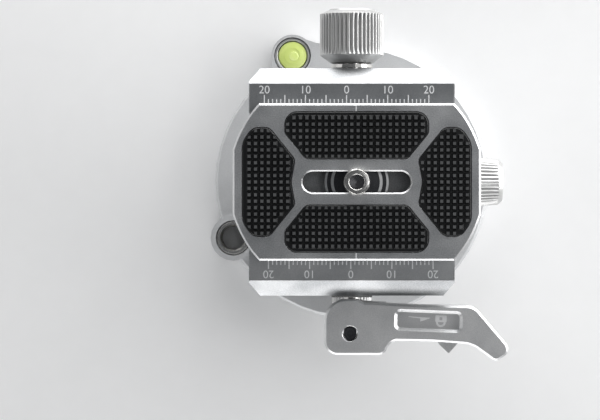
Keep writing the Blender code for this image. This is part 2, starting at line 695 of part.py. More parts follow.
def lever_outline():
    """The lever from above, with corners (x, y, radius) measured from its pin."""
    corners = [
        (-6.3, 8.4, 5.3), (1.6, 8.4, 1.5), (3.4, 7.55, 1.5), (16.9, 6.9, 0), (30.3, 6.75, 4.0),
        (39.7, -4.3, 2.2), (35.5, -6.85, 1.4), (29.6, -2.6, 7.0), (20.0, -1.9, 0),
        (9.9, -1.7, 2.6), (8.3, -5.2, 2.2), (-6.3, -5.2, 3.3)]
    return [(PIN_X + x, pin_y + y) for x, y in rounded(corners)]


def make_lever():
    lever = prism("lever", lever_outline(), lever_bottom, lever_top)
    slot_low = drawbar_height - eye_thickness / 2 - GAP
    slot_high = drawbar_height + eye_thickness / 2 + GAP
    fork = block("fork_slot", (PIN_X - 12, PIN_X + EYE_RADIUS + 1), (pin_y - 12, pin_y + 12),
                 (slot_low, slot_high))
    under = block("arm_relief", (PIN_X + 8.9, PIN_X + 60), (pin_y - 20, pin_y + 20),
                  (lever_bottom - 1, lever_top - ARM_THICKNESS))
    centre = (PIN_X, pin_y + CAM_OFFSET)
    turn = [(PIN_X - 12, pin_y + 12), (PIN_X - 12, pin_y + 2.8)]
    cam_edge = arc(centre, CAM_RADIUS, 183, 90, 14)
    relief = prism("cam_relief", [(PIN_X, pin_y + 12)] + turn + cam_edge,
                   lever_bottom - 1, lever_top - 2.9)
    hole = rod("lever_pin_hole", PIN_RADIUS + GAP, lever_bottom - 1, lever_top + 1,
               at=(PIN_X, pin_y, 0), steps=20)
    label = prism("label_recess", rounded([
        (PIN_X + 11.4, pin_y + 1.0, 1.2), (PIN_X + 26.6, pin_y + 1.0, 1.2),
        (PIN_X + 26.6, pin_y + 5.3, 1.2), (PIN_X + 11.4, pin_y + 5.3, 1.2)]),
        lever_top - LABEL_DEPTH, lever_top + 1)
    screw_x, screw_y = PIN_X + 19.5, pin_y + 2.4
    arm_under = lever_top - ARM_THICKNESS
    screw_hole = rod("slider_screw_hole", 1.5, arm_under - 1, lever_top - 2.2,
                     at=(screw_x, screw_y, 0), steps=16)
    cut(lever, fork, under, relief, hole, label, screw_hole)

    slider_top = arm_under - GAP
    slider_bottom = slider_top - SLIDER_THICKNESS
    slider = prism("safety_slider", rounded([
        (PIN_X + 12, pin_y + 5.6, 1), (PIN_X + 12, pin_y - 0.6, 1), (PIN_X + 20.6, pin_y - 0.9, 0),
        (PIN_X + 21.9, pin_y - 3.0, 1.4), (PIN_X + 24.3, pin_y - 5.3, 0.3),
        (PIN_X + 26.7, pin_y - 2.6, 0.5), (PIN_X + 27.6, pin_y + 5.6, 1)]),
        slider_bottom, slider_top)
    window = prism("slider_window", slot_outline(1.5 + SLIDER_TRAVEL / 2 + 0.4, 1.5,
                                                 (screw_x - SLIDER_TRAVEL / 2, screw_y)),
                   slider_bottom - 1, slider_top + 1)
    cut(slider, window)
    screw = turned("slider_screw", [
        (0, slider_bottom - GAP - 1), (2.6, slider_bottom - GAP - 1),
        (2.6, slider_bottom - GAP), (1.2, slider_bottom - GAP), (1.2, lever_top - 2.6),
        (0, lever_top - 2.6)], at=(screw_x, screw_y, 0), steps=16)
    finish(lever, "anodised")
    finish(slider, "anodised")
    finish(screw, "black_steel")
    hang(lever_axis, lever, screw)
    hang(slider_axis, slider)


# Camera plate

def plate_outline():
    """The plate from above: straight sides and ends with slightly bowed corners between."""
    x, y = PLATE_LENGTH / 2, plate_half
    bow_x = (x + PLATE_SIDE_FLAT) / 2 + PLATE_CORNER_BULGE * 0.8
    bow_y = (y + PLATE_END_FLAT) / 2 + PLATE_CORNER_BULGE
    quarter = [(x, PLATE_END_FLAT), (bow_x, bow_y), (PLATE_SIDE_FLAT, y)]
    return (mirrored(quarter, shift=PLATE_SHIFT) + mirrored(quarter, -1, shift=PLATE_SHIFT)[::-1]
            + mirrored(quarter, -1, -1, PLATE_SHIFT) + mirrored(quarter, 1, -1, PLATE_SHIFT)[::-1])


def pad_outline(kind, grow):
    """The long pad by the plate's side, or the end pad, in the quarter of +X and +Y."""
    if kind == "side":
        return rounded([(17.3 + grow, 16.9 + grow, 3.0 + grow),
                        (-17.3 - grow, 16.9 + grow, 3.0 + grow), (-17.3 - grow, 12.0, 1.2),
                        (-11.8 - grow, 5.66 - grow, 1.5 + grow),
                        (11.8 + grow, 5.66 - grow, 1.5 + grow), (17.3 + grow, 12.0, 1.2)])
    return rounded([(27.6 + grow, 13.1 + grow, 4.5 + grow), (21.2, 13.1 + grow, 1.2 + grow),
                    (15.0 - grow, 5.2, 1.5 + grow), (15.0 - grow, -5.2, 1.5 + grow),
                    (21.2, -13.1 - grow, 1.2 + grow), (27.6 + grow, -13.1 - grow, 4.5 + grow)])


def make_plate():
    plate = prism("camera_plate", plate_outline(), plate_bottom, plate_top)
    half = PLATE_LENGTH / 2 + 5
    foot_top = plate_bottom + FOOT_HEIGHT
    for side in (-1, 1):
        groove = [(side * y, z) for y, z in (
            (neck_half, flange_under), (neck_half, foot_top + FLANK_HEIGHT),
            (plate_half + 5, foot_top - 5), (plate_half + 5, flange_under))]
        name = "dovetail_left" if side < 0 else "dovetail_right"
        cut(plate, prism(name, groove, PLATE_SHIFT - half, PLATE_SHIFT + half, "X"))
    slot = prism("screw_slot", slot_outline(SLOT_HALF_LENGTH, SLOT_HALF_WIDTH, (PLATE_SHIFT, 0)),
                 plate_bottom - 1, plate_top + 1)
    washer_half = SCREW_WASHER_RADIUS + GAP
    reach = SLOT_HALF_LENGTH - SLOT_HALF_WIDTH + washer_half
    channel = prism("screw_channel", slot_outline(reach, washer_half, (PLATE_SHIFT, 0), 12),
                    plate_bottom - 1, web_bottom)
    cut(plate, slot, channel)
    pads = []
    for name, kind, side in (("pad_back", "side", 1), ("pad_front", "side", -1),
                             ("pad_right", "end", 1), ("pad_left", "end", -1)):
        flip = (1, side) if kind == "side" else (side, 1)
        pocket = prism(name + "_pocket", mirrored(pad_outline(kind, GAP), *flip, PLATE_SHIFT),
                       plate_top - PAD_DEPTH, plate_top + 1)
        cut(plate, pocket)
        floor = plate_top - PAD_DEPTH + GAP
        pads.append(prism(name, mirrored(pad_outline(kind, 0), *flip, PLATE_SHIFT), floor,
                          floor + PAD_THICKNESS))
    stops = []
    for side in (-1, 1):
        at = (PLATE_SHIFT + side * STOP_X, STOP_Y, 0)
        tag = "left" if side < 0 else "right"
        cut(plate, rod("stop_hole_" + tag, STOP_RADIUS + GAP, plate_bottom - 1, plate_bottom + 4,
                       at=at, steps=16))
        stops.append(rod("stop_screw_" + tag, STOP_RADIUS, floor_top - 0.6, plate_bottom + 3.7,
                         at=at, steps=16))
    screw_at = (PLATE_SHIFT, 0, 0)
    washer_top = web_bottom - GAP
    washer_bottom = washer_top - SCREW_WASHER_THICKNESS
    washer = tube("screw_washer", screw_neck + GAP, SCREW_WASHER_RADIUS, washer_bottom,
                  washer_top, at=screw_at)
    head_top = washer_bottom - GAP
    head_bottom = plate_bottom + 2 * GAP
    tip = plate_top + CAMERA_SCREW_RISE
    screw = turned("camera_screw", [
        (0, head_bottom), (CAMERA_SCREW_HEAD, head_bottom), (CAMERA_SCREW_HEAD, head_top),
        (screw_neck, head_top), (screw_neck, plate_top + GAP),
        (CAMERA_SCREW_RADIUS, plate_top + GAP), (CAMERA_SCREW_RADIUS, tip - 0.5),
        (CAMERA_SCREW_RADIUS - 0.5, tip), (CAMERA_SCREW_HOLLOW, tip),
        (CAMERA_SCREW_HOLLOW, tip - 2.5), (0, tip - 2.5)], at=screw_at, steps=FINE)
    coin_slot = block("coin_slot", (PLATE_SHIFT - 8, PLATE_SHIFT + 8), (-0.8, 0.8),
                      (head_bottom - 1, head_bottom + 1.2))
    cut(screw, coin_slot)
    finish(plate, "anodised")
    for pad in pads:
        finish(pad, "rubber")
    for stop in stops:
        finish(stop, "black_steel")
    finish(washer, "steel")
    finish(screw, "steel")
    hang(plate_axis, plate, *pads, *stops)
    hang(washer_axis, washer)
    hang(screw_axis, screw)


for old in list(bpy.data.objects):
    bpy.data.objects.remove(old, do_unlink=True)

base_frame = pivot("base_frame", (0, 0, 0))
pan_axis = pivot("pan_axis", (0, 0, 0), base_frame)
lock_axis = pivot("lock_axis", (boss_reach, 0, lock_height), pan_axis)
piston_axis = pivot("piston_axis", (seat_radius, 0, lock_height), pan_axis)
pan_lock_axis = pivot("pan_lock_axis", (0, -boss_reach, PAN_AXIS_HEIGHT), pan_axis)
pan_shoe_axis = pivot("pan_shoe_axis", (0, -SPIGOT_RADIUS, PAN_AXIS_HEIGHT), pan_axis)
tilt_axis = pivot("tilt_axis", (0, 0, ball_height), pan_axis)
lean_axis = pivot("lean_axis", (0, 0, ball_height), tilt_axis)
spin_axis = pivot("spin_axis", (0, 0, flange_top), lean_axis)
knob_axis = pivot("knob_axis", (0, clamp_half, drawbar_height), spin_axis)
bar_axis = pivot("bar_axis", (0, 0, drawbar_height), spin_axis)
jaw_axis = pivot("jaw_axis", (0, SPLIT_Y, drawbar_height), spin_axis)
lever_axis = pivot("lever_axis", (PIN_X, pin_y, drawbar_height), bar_axis)
slider_axis = pivot("slider_axis", (PIN_X + 19.5, pin_y, lever_top), lever_axis)
plate_axis = pivot("plate_axis", (PLATE_SHIFT, 0, plate_bottom), spin_axis)
washer_axis = pivot("washer_axis", (PLATE_SHIFT, 0, web_bottom), plate_axis)
screw_axis = pivot("screw_axis", (PLATE_SHIFT, 0, web_bottom), washer_axis)

make_base()
make_housing()
make_locks()
make_ball()
make_clamp()
make_drawbar()
make_lever()
make_plate()

for piece in bpy.data.objects:
    if piece.type == "MESH" and not piece.hide_render:
        piece.data.shade_smooth()
        piece.data.set_sharp_from_angle(angle=math.radians(30))
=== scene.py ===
# %% [markdown]
# # A tripod ball head, finished piece by piece
# The imported CAD model comes in first as a fixed frame. Pieces whose shape is already right keep
# their mesh and get a real material, though the paint on the base and housing is made lighter as
# painted light. Pieces that the eye goes to, such as the camera plate, its rubber pads, the lever
# and the knurled knob, are modelled again in finer detail on the same axes and inside the same box,
# and ride on the same bodies, so every joint still works.

# %% Load the frame
import math
import bpy
import bmesh
from mathutils import Matrix, Vector


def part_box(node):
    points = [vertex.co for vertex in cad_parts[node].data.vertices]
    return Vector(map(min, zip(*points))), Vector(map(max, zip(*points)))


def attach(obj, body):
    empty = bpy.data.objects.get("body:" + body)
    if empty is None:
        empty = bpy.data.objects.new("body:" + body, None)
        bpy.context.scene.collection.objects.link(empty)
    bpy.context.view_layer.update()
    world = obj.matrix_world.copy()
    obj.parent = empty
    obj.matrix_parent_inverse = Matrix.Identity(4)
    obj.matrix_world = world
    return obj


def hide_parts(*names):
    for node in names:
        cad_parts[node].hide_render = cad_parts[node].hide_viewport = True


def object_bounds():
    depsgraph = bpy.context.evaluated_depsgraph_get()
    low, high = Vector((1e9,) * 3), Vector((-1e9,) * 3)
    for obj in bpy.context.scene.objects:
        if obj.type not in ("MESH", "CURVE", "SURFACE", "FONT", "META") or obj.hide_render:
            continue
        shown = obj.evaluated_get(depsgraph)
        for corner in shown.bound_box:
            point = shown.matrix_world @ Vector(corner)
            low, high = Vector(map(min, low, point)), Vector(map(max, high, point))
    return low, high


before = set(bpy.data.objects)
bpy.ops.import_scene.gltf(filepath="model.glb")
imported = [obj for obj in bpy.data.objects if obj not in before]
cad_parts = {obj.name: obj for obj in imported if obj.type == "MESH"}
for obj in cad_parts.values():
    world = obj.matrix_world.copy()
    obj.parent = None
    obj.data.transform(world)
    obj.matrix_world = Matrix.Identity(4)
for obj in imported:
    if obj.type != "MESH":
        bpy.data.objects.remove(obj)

CAD_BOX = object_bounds()
MM = 0.001
print("CAD nodes:", len(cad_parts))

# %% [markdown]
# ## Camera, light and floor
# The head is looked at from straight above its panning axis, through a long lens, so the clamp
# shows no sides. A small lens shift leaves room for the lever at the lower right.
# Bead-blasted metal looks the way its surroundings look: a dim ceiling keeps the flat tops grey,
# and bright soft boxes near the horizon make every 45 degree chamfer shine.

# %% Camera
JAW_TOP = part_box("moving_jaw")[1].z
CAMERA_RISE = 600 * MM          # above the top of the jaws
camera_data = bpy.data.cameras.new("camera")
camera_data.sensor_width = 36
camera_data.lens = 148.1
camera_data.clip_start = 0.01
camera_data.shift_x = -0.0863
camera_data.shift_y = -0.0467
camera = bpy.data.objects.new("camera", camera_data)
camera.location = (0, 0, JAW_TOP + CAMERA_RISE)
bpy.context.scene.collection.objects.link(camera)
bpy.context.scene.camera = camera
bpy.context.scene.view_settings.view_transform = "Standard"
print("camera stands", round(camera.location.z, 3), "m above the floor")


# %% Colours and shader nodes
def linear(hex_colour):
    """An sRGB hex colour as the linear values that shaders work in."""
    channels = [int(hex_colour[i:i + 2], 16) / 255 for i in (0, 2, 4)]
    return [c / 12.92 if c <= 0.04045 else ((c + 0.055) / 1.055) ** 2.4 for c in channels] + [1]


def add(tree, kind, inputs=None, **settings):
    """Add one node; an input is either a value or another node's output socket."""
    item = tree.nodes.new(kind)
    for key, value in settings.items():
        setattr(item, key, value)
    for key, value in (inputs or {}).items():
        if isinstance(value, bpy.types.NodeSocket):
            tree.links.new(value, item.inputs[key])
        else:
            item.inputs[key].default_value = value
    return item


print("mid grey 808080 is", round(linear("808080")[0], 3), "in linear light")


# %% Soft boxes and the dim ceiling
def soft_box(name, spot, size, power):
    """An area light that looks at the middle of the clamp."""
    light = bpy.data.lights.new(name, "AREA")
    light.shape = "RECTANGLE"
    light.size, light.size_y = size
    light.energy = power
    holder = bpy.data.objects.new(name, light)
    holder.location = spot
    to_clamp = Vector((0, 0, 0.07)) - Vector(spot)
    holder.rotation_euler = to_clamp.to_track_quat("-Z", "Y").to_euler()
    bpy.context.scene.collection.objects.link(holder)


soft_box("box_back", (0.1, 0.75, 0.24), (1.5, 0.34), 9)
soft_box("box_front", (-0.1, -0.75, 0.24), (1.1, 0.34), 4)
soft_box("box_right", (0.8, 0.22, 0.24), (1.1, 0.34), 7)
soft_box("box_left", (-0.8, 0.0, 0.24), (0.9, 0.34), 0.9)
soft_box("box_high", (0.35, 0.05, 0.8), (0.45, 0.45), 0.42)

world = bpy.data.worlds.new("studio")
bpy.context.scene.world = world
world.use_nodes = True
sky = world.node_tree
sky.nodes.clear()
ceiling = add(sky, "ShaderNodeBackground", {"Color": linear("E9ECF0"), "Strength": 0.16})
add(sky, "ShaderNodeOutputWorld", {"Surface": ceiling.outputs[0]})
print("soft boxes:", [light.name for light in bpy.data.lights])

# %% Floor
floor_bm = bmesh.new()
bmesh.ops.create_grid(floor_bm, x_segments=1, y_segments=1, size=3)
floor_mesh = bpy.data.meshes.new("floor")
floor_bm.to_mesh(floor_mesh)
floor_bm.free()
floor = bpy.data.objects.new("floor", floor_mesh)
floor.location.z = CAD_BOX[0][2] - 0.05 * MM
bpy.context.scene.collection.objects.link(floor)
paper = bpy.data.materials.new("white_paper")
paper.use_nodes = True
shader = paper.node_tree.nodes["Principled BSDF"]
grain = add(paper.node_tree, "ShaderNodeTexNoise", {"Scale": 900.0})
tone = add(paper.node_tree, "ShaderNodeMixRGB", {
    "Fac": grain.outputs["Fac"], "Color1": linear("FAFAFA"), "Color2": linear("FFFFFF")})
paper.node_tree.links.new(tone.outputs["Color"], shader.inputs["Base Color"])
shader.inputs["Roughness"].default_value = 0.9
floor_mesh.materials.append(paper)
print("floor lies at", round(floor.location.z / MM, 3), "mm")


# %% [markdown]
# ## Materials
# Each finish starts from how the real surface was made, and a few also carry painted light and
# painted shade, as their comments say. All of them use the object's own coordinates in metres, so a
# grain of 0.3 mm is a noise scale of one over 0.0003.

# %% Blasted and anodised aluminium
def blank(name, roughness, metallic, ior=1.5):
    material = bpy.data.materials.new(name)
    material.use_nodes = True
    tree = material.node_tree
    bsdf = tree.nodes["Principled BSDF"]
    bsdf.inputs["Roughness"].default_value = roughness
    bsdf.inputs["Metallic"].default_value = metallic
    bsdf.inputs["IOR"].default_value = ior
    place = add(tree, "ShaderNodeTexCoord").outputs["Object"]
    return material, tree, bsdf, place


def grainy(name, dark, light, grain_mm, roughness, metallic, rough_spread=0.06, bump=0.02):
    """A surface with a fine grain in its colour, its roughness and its height."""
    material, tree, bsdf, place = blank(name, roughness, metallic)
    fine = add(tree, "ShaderNodeTexNoise", {"Vector": place, "Scale": 1 / (grain_mm * MM),
                                            "Detail": 3.0, "Roughness": 0.65})
    broad = add(tree, "ShaderNodeTexNoise", {"Vector": place, "Scale": 1 / (9 * MM), "Detail": 2.0})
    both = add(tree, "ShaderNodeMath", {0: fine.outputs["Fac"], 1: broad.outputs["Fac"]},
               operation="ADD")
    spread = add(tree, "ShaderNodeMapRange", {"Value": both.outputs[0], "From Min": 0.72,
                                              "From Max": 1.28})
    ramp = add(tree, "ShaderNodeMixRGB", {"Fac": spread.outputs[0], "Color1": linear(dark),
                                          "Color2": linear(light)})
    tree.links.new(ramp.outputs["Color"], bsdf.inputs["Base Color"])
    rough = add(tree, "ShaderNodeMapRange", {"Value": fine.outputs["Fac"], "From Min": 0.3,
                                             "From Max": 0.7, "To Min": roughness - rough_spread,
                                             "To Max": roughness + rough_spread})
    tree.links.new(rough.outputs[0], bsdf.inputs["Roughness"])
    relief = add(tree, "ShaderNodeBump", {"Height": fine.outputs["Fac"], "Strength": 0.35,
                                          "Distance": bump * MM})
    tree.links.new(relief.outputs["Normal"], bsdf.inputs["Normal"])
    return material


# Glass-bead blasting leaves 0.05 mm dimples under a clear oxide layer: even, soft and grey. The
# grain is drawn at 0.28 mm, because the true size is too fine to show.
BLASTED = grainy("blasted_anodised_aluminium", "A2A4A6", "D6D7D8", 0.28, 0.46, 0.92)
# The fixed jaw's flat top is blasted and then dyed a little darker behind the scale.
SCALE_GROUND = grainy("dyed_anodised_aluminium", "929496", "A6A8AA", 0.28, 0.5, 0.92)
# The moving jaw's scale ground is the same dyed top, made paler as painted light.
PAINTED_LIGHT_GROUND = grainy("anodised_aluminium_lightened_as_painted_light", "AEB0B2", "C4C5C6", 0.28, 0.46, 0.72)
# The lever is blasted more finely, so it is lighter.
FINE_BLASTED = grainy("fine_blasted_aluminium", "C8C9CA", "E4E4E4", 0.22, 0.44, 0.56)
# Chamfers are cut by a diamond tool after blasting, which leaves a bright, smooth band.
CUT_EDGE = grainy("diamond_cut_aluminium", "D2D3D4", "E6E6E6", 0.5, 0.4, 1.0, 0.03, 0.004)

# The base and the housing are castings: silver paint with fine aluminium flake in it, made near
# white as painted light for the brighter light that falls on these low parts.
SILVER_PAINT_AND_PAINTED_LIGHT = grainy("silver_casting_lightened_as_painted_light", "CACBCC", "D8D9DA", 0.35, 0.5, 0.3, 0.05, 0.01)

print("aluminium and paint:", len(bpy.data.materials), "materials")

# %% Turned aluminium, ball and steels
# Turning leaves fine even rings and a satin, slightly milky shine.
TURNED = grainy("turned_aluminium", "C8C8C7", "DCDCDB", 0.3, 0.42, 0.88, 0.05, 0.01)
# A ground ball is smooth enough to show soft reflections through its grey anodising.
BALL_FINISH = grainy("ground_anodised_aluminium", "9A9CA0", "A6A8AB", 0.6, 0.24, 0.95, 0.03, 0.002)
# Stainless steel is warmer than aluminium and takes sharp highlights off a cutting tool.
STEEL = grainy("turned_stainless_steel", "C9C8C5", "DEDDDA", 0.4, 0.22, 1.0, 0.06, 0.006)
# Black oxide is a thin conversion layer: dark, dull and a little blue.
BLACK_OXIDE = grainy("black_oxide_steel", "3A3B3E", "55565A", 0.3, 0.42, 0.7, 0.08, 0.01)
# Steel inside a hole is darkened as painted shade, keeping its shine.
PAINTED_SHADE_STEEL = grainy("steel_darkened_as_painted_shade", "6A6A6B", "87878A", 0.4, 0.25, 1.0, 0.06, 0.006)
# Turned brass is yellow, satin and clean where it has been cut.
BRASS = grainy("turned_brass", "B8934B", "C9A55C", 0.4, 0.3, 1.0, 0.05, 0.006)
# Acetal is a waxy off-white plastic with a soft sheen.
ACETAL = grainy("machined_acetal", "D9D5C8", "E4E1D6", 0.8, 0.45, 0.0, 0.05, 0.01)
# Moulded rubber is black and slightly glossy in its valleys. The lighter grey on the stud tops is
# partly the dusty bloom real rubber gets and partly a painted highlight.
RUBBER = grainy("moulded_rubber", "08090A", "151618", 0.5, 0.34, 0.0, 0.06, 0.01)
BLOOM_AND_PAINTED_HIGHLIGHT = grainy("rubber_bloom_and_painted_highlight", "4A4B4C", "5E5F60", 0.5, 0.6, 0.0, 0.06, 0.01)
# Laser marking burns the dye away and leaves pale, dry aluminium oxide.
LASER_MARK = grainy("laser_marked_oxide", "F6F7F8", "FFFFFF", 0.3, 0.7, 0.0, 0.05, 0.0)
# Pad-printed ink is flat and dull.
INK_BLACK = grainy("black_pad_print", "101112", "1A1B1C", 0.3, 0.5, 0.0, 0.05, 0.0)
print("with steels, plastics and rubber:", len(bpy.data.materials), "materials")

# %% Level fluid
# A bullseye level is an acrylic vial of dyed alcohol: a clear gloss over a glowing yellow-green.
FLUID, fluid_tree, fluid_bsdf, fluid_place = blank("level_fluid_in_acrylic", 0.12, 0.0, 1.49)
swirl = add(fluid_tree, "ShaderNodeTexNoise", {"Vector": fluid_place, "Scale": 1 / (4 * MM)})
green = add(fluid_tree, "ShaderNodeMixRGB", {
    "Fac": swirl.outputs["Fac"], "Color1": linear("D6EA78"), "Color2": linear("EAF6A0")})
fluid_tree.links.new(green.outputs["Color"], fluid_bsdf.inputs["Base Color"])
fluid_bsdf.inputs["Coat Weight"].default_value = 0.6
fluid_bsdf.inputs["Coat Roughness"].default_value = 0.05
# The bubble is a thin film of the same fluid, so it looks paler.
BUBBLE = grainy("level_bubble", "E3F58A", "EDFAA6", 1.5, 0.15, 0.0, 0.02, 0.0)
print("materials in all:", len(bpy.data.materials))


# %% [markdown]
# ## Outlines and solids
# Nearly every machined piece here starts as a flat outline. Three helpers draw outlines: an arc, a
# polygon with rounded corners, and an offset that keeps a chamfer even all the way round. One
# helper stacks outlines into a closed solid, and a band of it can take another material.

# %% Outline helpers
def arc(centre, radius, start, end, steps):
    points = []
    for i in range(steps + 1):
        angle = math.radians(start + (end - start) * i / steps)
        points.append((centre[0] + radius * math.cos(angle), centre[1] + radius * math.sin(angle)))
    return points


def rounded(corners, steps=10):
    """Corners (x, y, radius) become an outline with an arc at each one."""
    points = []
    for i, (x, y, radius) in enumerate(corners):
        here = Vector((x, y))
        if radius == 0:
            points.append((x, y))
            continue
        before = (Vector(corners[i - 1][:2]) - here).normalized()
        after = (Vector(corners[(i + 1) % len(corners)][:2]) - here).normalized()
        half = before.angle(after) / 2
        centre = here + (before + after).normalized() * radius / math.sin(half)
        first = here + before * radius / math.tan(half) - centre
        last = here + after * radius / math.tan(half) - centre
        turn = first.angle_signed(last)
        for k in range(steps + 1):
            spot = centre + Matrix.Rotation(-turn * k / steps, 2) @ first
            points.append((spot.x, spot.y))
    return points


def grown(outline, distance):
    """The outline moved out by a distance, or in where it is negative."""
    area = sum(a[0] * b[1] - b[0] * a[1] for a, b in zip(outline, outline[1:] + outline[:1]))
    out = 1 if area > 0 else -1
    moved = []
    for i, point in enumerate(outline):
        before = (Vector(point) - Vector(outline[i - 1])).normalized()
        after = (Vector(outline[(i + 1) % len(outline)]) - Vector(point)).normalized()
        bisector = Vector((before.y + after.y, -before.x - after.x)).normalized() * out
        side = Vector((before.y, -before.x)) * out
        moved.append(tuple(Vector(point) + bisector * distance / max(bisector.dot(side), 0.5)))
    return moved


def slot_outline(half_length, half_width, at):
    straight = half_length - half_width
    return (arc((at[0] + straight, at[1]), half_width, -90, 90, 16)
            + arc((at[0] - straight, at[1]), half_width, 90, 270, 16))


def circle(radius, at):
    steps = 48
    return arc(at, radius, 0, 360 - 360 / steps, steps - 1)


print("a 10 mm circle has", len(circle(5, (0, 0))), "points")


# %% Solid helpers
def finish_mesh(name, bm, materials, angle=30):
    bmesh.ops.recalc_face_normals(bm, faces=bm.faces)
    mesh = bpy.data.meshes.new(name)
    bm.to_mesh(mesh)
    bm.free()
    for material in materials:
        mesh.materials.append(material)
    mesh.shade_smooth()
    mesh.set_sharp_from_angle(angle=math.radians(angle))
    piece = bpy.data.objects.new(name, mesh)
    bpy.context.scene.collection.objects.link(piece)
    return piece


def stack(name, loops, materials, bright=(), ring=False):
    """Loops of (x, y, z) points in millimetres, all of one length, skinned one after the other.

    bright lists the bands that take the second material. A ring closes on its first loop.
    """
    bm = bmesh.new()
    rows = [[bm.verts.new(Vector(p) * MM) for p in loop] for loop in loops]
    pairs = list(zip(rows, rows[1:]))
    if ring:
        pairs.append((rows[-1], rows[0]))
    else:
        bm.faces.new(rows[0])
        bm.faces.new(rows[-1])
    count = len(rows[0])
    for band, (a, b) in enumerate(pairs):
        for i in range(count):
            face = bm.faces.new((a[i], a[(i + 1) % count], b[(i + 1) % count], b[i]))
            face.material_index = 1 if band in bright else 0
    return finish_mesh(name, bm, materials)


def slab(name, outline, low, high, materials, chamfer=0.0, low_chamfer=0.0):
    """A flat solid from an outline, with a bright chamfer round its top and its bottom."""
    levels = [(low, -low_chamfer), (low + low_chamfer, 0), (high - chamfer, 0), (high, -chamfer)]
    loops = []
    bright = []
    for height, inset in levels:
        if loops and abs(loops[-1][0][2] - height) < 1e-6:
            continue
        if loops and inset != 0 or (len(loops) == 1 and low_chamfer):
            bright.append(len(loops) - 1)
        shape = grown(outline, inset) if inset else outline
        loops.append([(x, y, height) for x, y in shape])
    return stack(name, loops, materials, bright)


def revolve(name, profile, materials, at, axis="Z", steps=96, bright=(), radius_at=None):
    """A profile of (radius, height) turned about an axis; radius_at bends the rings into flutes."""
    loops = []
    for radius, height in profile:
        loop = []
        for i in range(steps):
            angle = 2 * math.pi * i / steps
            r = radius_at(radius, height, angle) if radius_at else radius
            u, v = r * math.cos(angle), r * math.sin(angle)
            x, y, z = {"X": (height, u, v), "Y": (u, height, v), "Z": (u, v, height)}[axis]
            loop.append((at[0] + x, at[1] + y, at[2] + z))
        loops.append(loop)
    return stack(name, loops, materials, bright, ring=True)


def carve(piece, *others):
    """Cut the other solids out of a piece, and remove them."""
    for other in others:
        step = piece.modifiers.new("carve", "BOOLEAN")
        step.operation = "DIFFERENCE"
        step.object = other
        step.solver = "EXACT"
    bpy.context.view_layer.update()
    graph = bpy.context.evaluated_depsgraph_get()
    mesh = bpy.data.meshes.new_from_object(piece.evaluated_get(graph))
    piece.modifiers.clear()
    piece.data = mesh
    mesh.shade_smooth()
    mesh.set_sharp_from_angle(angle=math.radians(30))
    for other in others:
        bpy.data.objects.remove(other, do_unlink=True)
    return piece


def put(piece, body, slot, *stands_for):
    """Let a piece ride on a body and stand for CAD nodes. The slot argument is not used."""
    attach(piece, body)
    if stands_for:
        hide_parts(*stands_for)
    print(piece.name, "rides on", body, "with", len(piece.data.vertices), "points")
    return piece


def middle(node):
    """Centre of a CAD node's box, in millimetres."""
    low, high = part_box(node)
    return (low + high) / 2 / MM


def edges(node):
    """Lowest and highest corner of a CAD node, in millimetres."""
    low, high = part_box(node)
    return low / MM, high / MM


print("camera plate spans", *([round(v, 2) for v in corner] for corner in edges("camera_plate")))


# %% [markdown]
# ## Camera plate
# The plate is milled from one bar: a 38 mm dovetail below, bowed corners, a long slot for the
# camera screw and four shallow pockets for the pads. It is modelled as a slab with a bright
# chamfer, and the slot and pockets are cut with flared cutters so that they get a chamfer too.

# %% Plate outline and cuts
plate_low, plate_high = edges("camera_plate")
plate_mid = middle("camera_plate")
PLATE_X = plate_mid.x
PLATE_CHAMFER = 0.45
PLATE_ROOF = 3.0                # metal left above the channel that the screw's head slides in
SLOT_HALF = (13.1, 2.55)
CHANNEL_HALF = (18.65, 8.1)
POCKET_GAP = 0.12


def mirror_four(quarter):
    """A quarter outline, from +X round to +Y, copied into the other three quarters."""
    outline = []
    for sx, sy in ((1, 1), (-1, 1), (-1, -1), (1, -1)):
        part = [(PLATE_X + sx * x, sy * y) for x, y in quarter]
        outline += part if sx == sy else part[::-1]
    return outline


def bowed_corner():
    """From the end's flat to the side's flat along a slightly bowed line with eased corners."""
    x, y = (plate_high.x - plate_low.x) / 2, (plate_high.y - plate_low.y) / 2
    start, end, bow = Vector((x, 7.8)), Vector((23.6, y)), Vector((0.5, 0.6))
    points = []
    for i in range(13):
        t = i / 12
        points.append(tuple(start.lerp(end, t) + bow * 4 * t * (1 - t)))
    return points


def flared(name, outline, low, high, flare, materials):
    """A cutter whose mouth opens at 45 degrees just below the top."""
    loops = [[(x, y, low) for x, y in outline], [(x, y, high - flare) for x, y in outline],
             [(x, y, high + 1) for x, y in grown(outline, flare + 1)]]
    return stack(name, loops, materials, bright=(1,))


metal = (BLASTED, CUT_EDGE)
plate = slab("plate_body", mirror_four(bowed_corner()), plate_low.z, plate_high.z, metal,
             PLATE_CHAMFER, 0.3)
FOOT, FLANK, NECK = 1.4, 2.6, 1.6
cutters = []
for side in (-1, 1):
    half = plate_high.y
    section = [(half - FLANK, plate_low.z + FOOT + FLANK + NECK), (half - FLANK,
               plate_low.z + FOOT + FLANK), (half + 5, plate_low.z + FOOT - 5),
               (half + 5, plate_low.z + FOOT + FLANK + NECK)]
    loops = [[(x, side * y, z) for y, z in section] for x in (plate_low.x - 5, plate_high.x + 5)]
    cutters.append(stack("dovetail_cut", loops, metal))
slot_cut = flared("slot_cut", slot_outline(*SLOT_HALF, (PLATE_X, 0)), plate_low.z - 1,
                  plate_high.z, 0.35, metal)
channel = stack("channel_cut", [[(x, y, z) for x, y in slot_outline(*CHANNEL_HALF, (PLATE_X, 0))]
                                for z in (plate_low.z - 1, plate_high.z - PLATE_ROOF)], metal)
carve(plate, slot_cut, channel, *cutters)
print("plate thickness", round(plate_high.z - plate_low.z, 2), "mm")


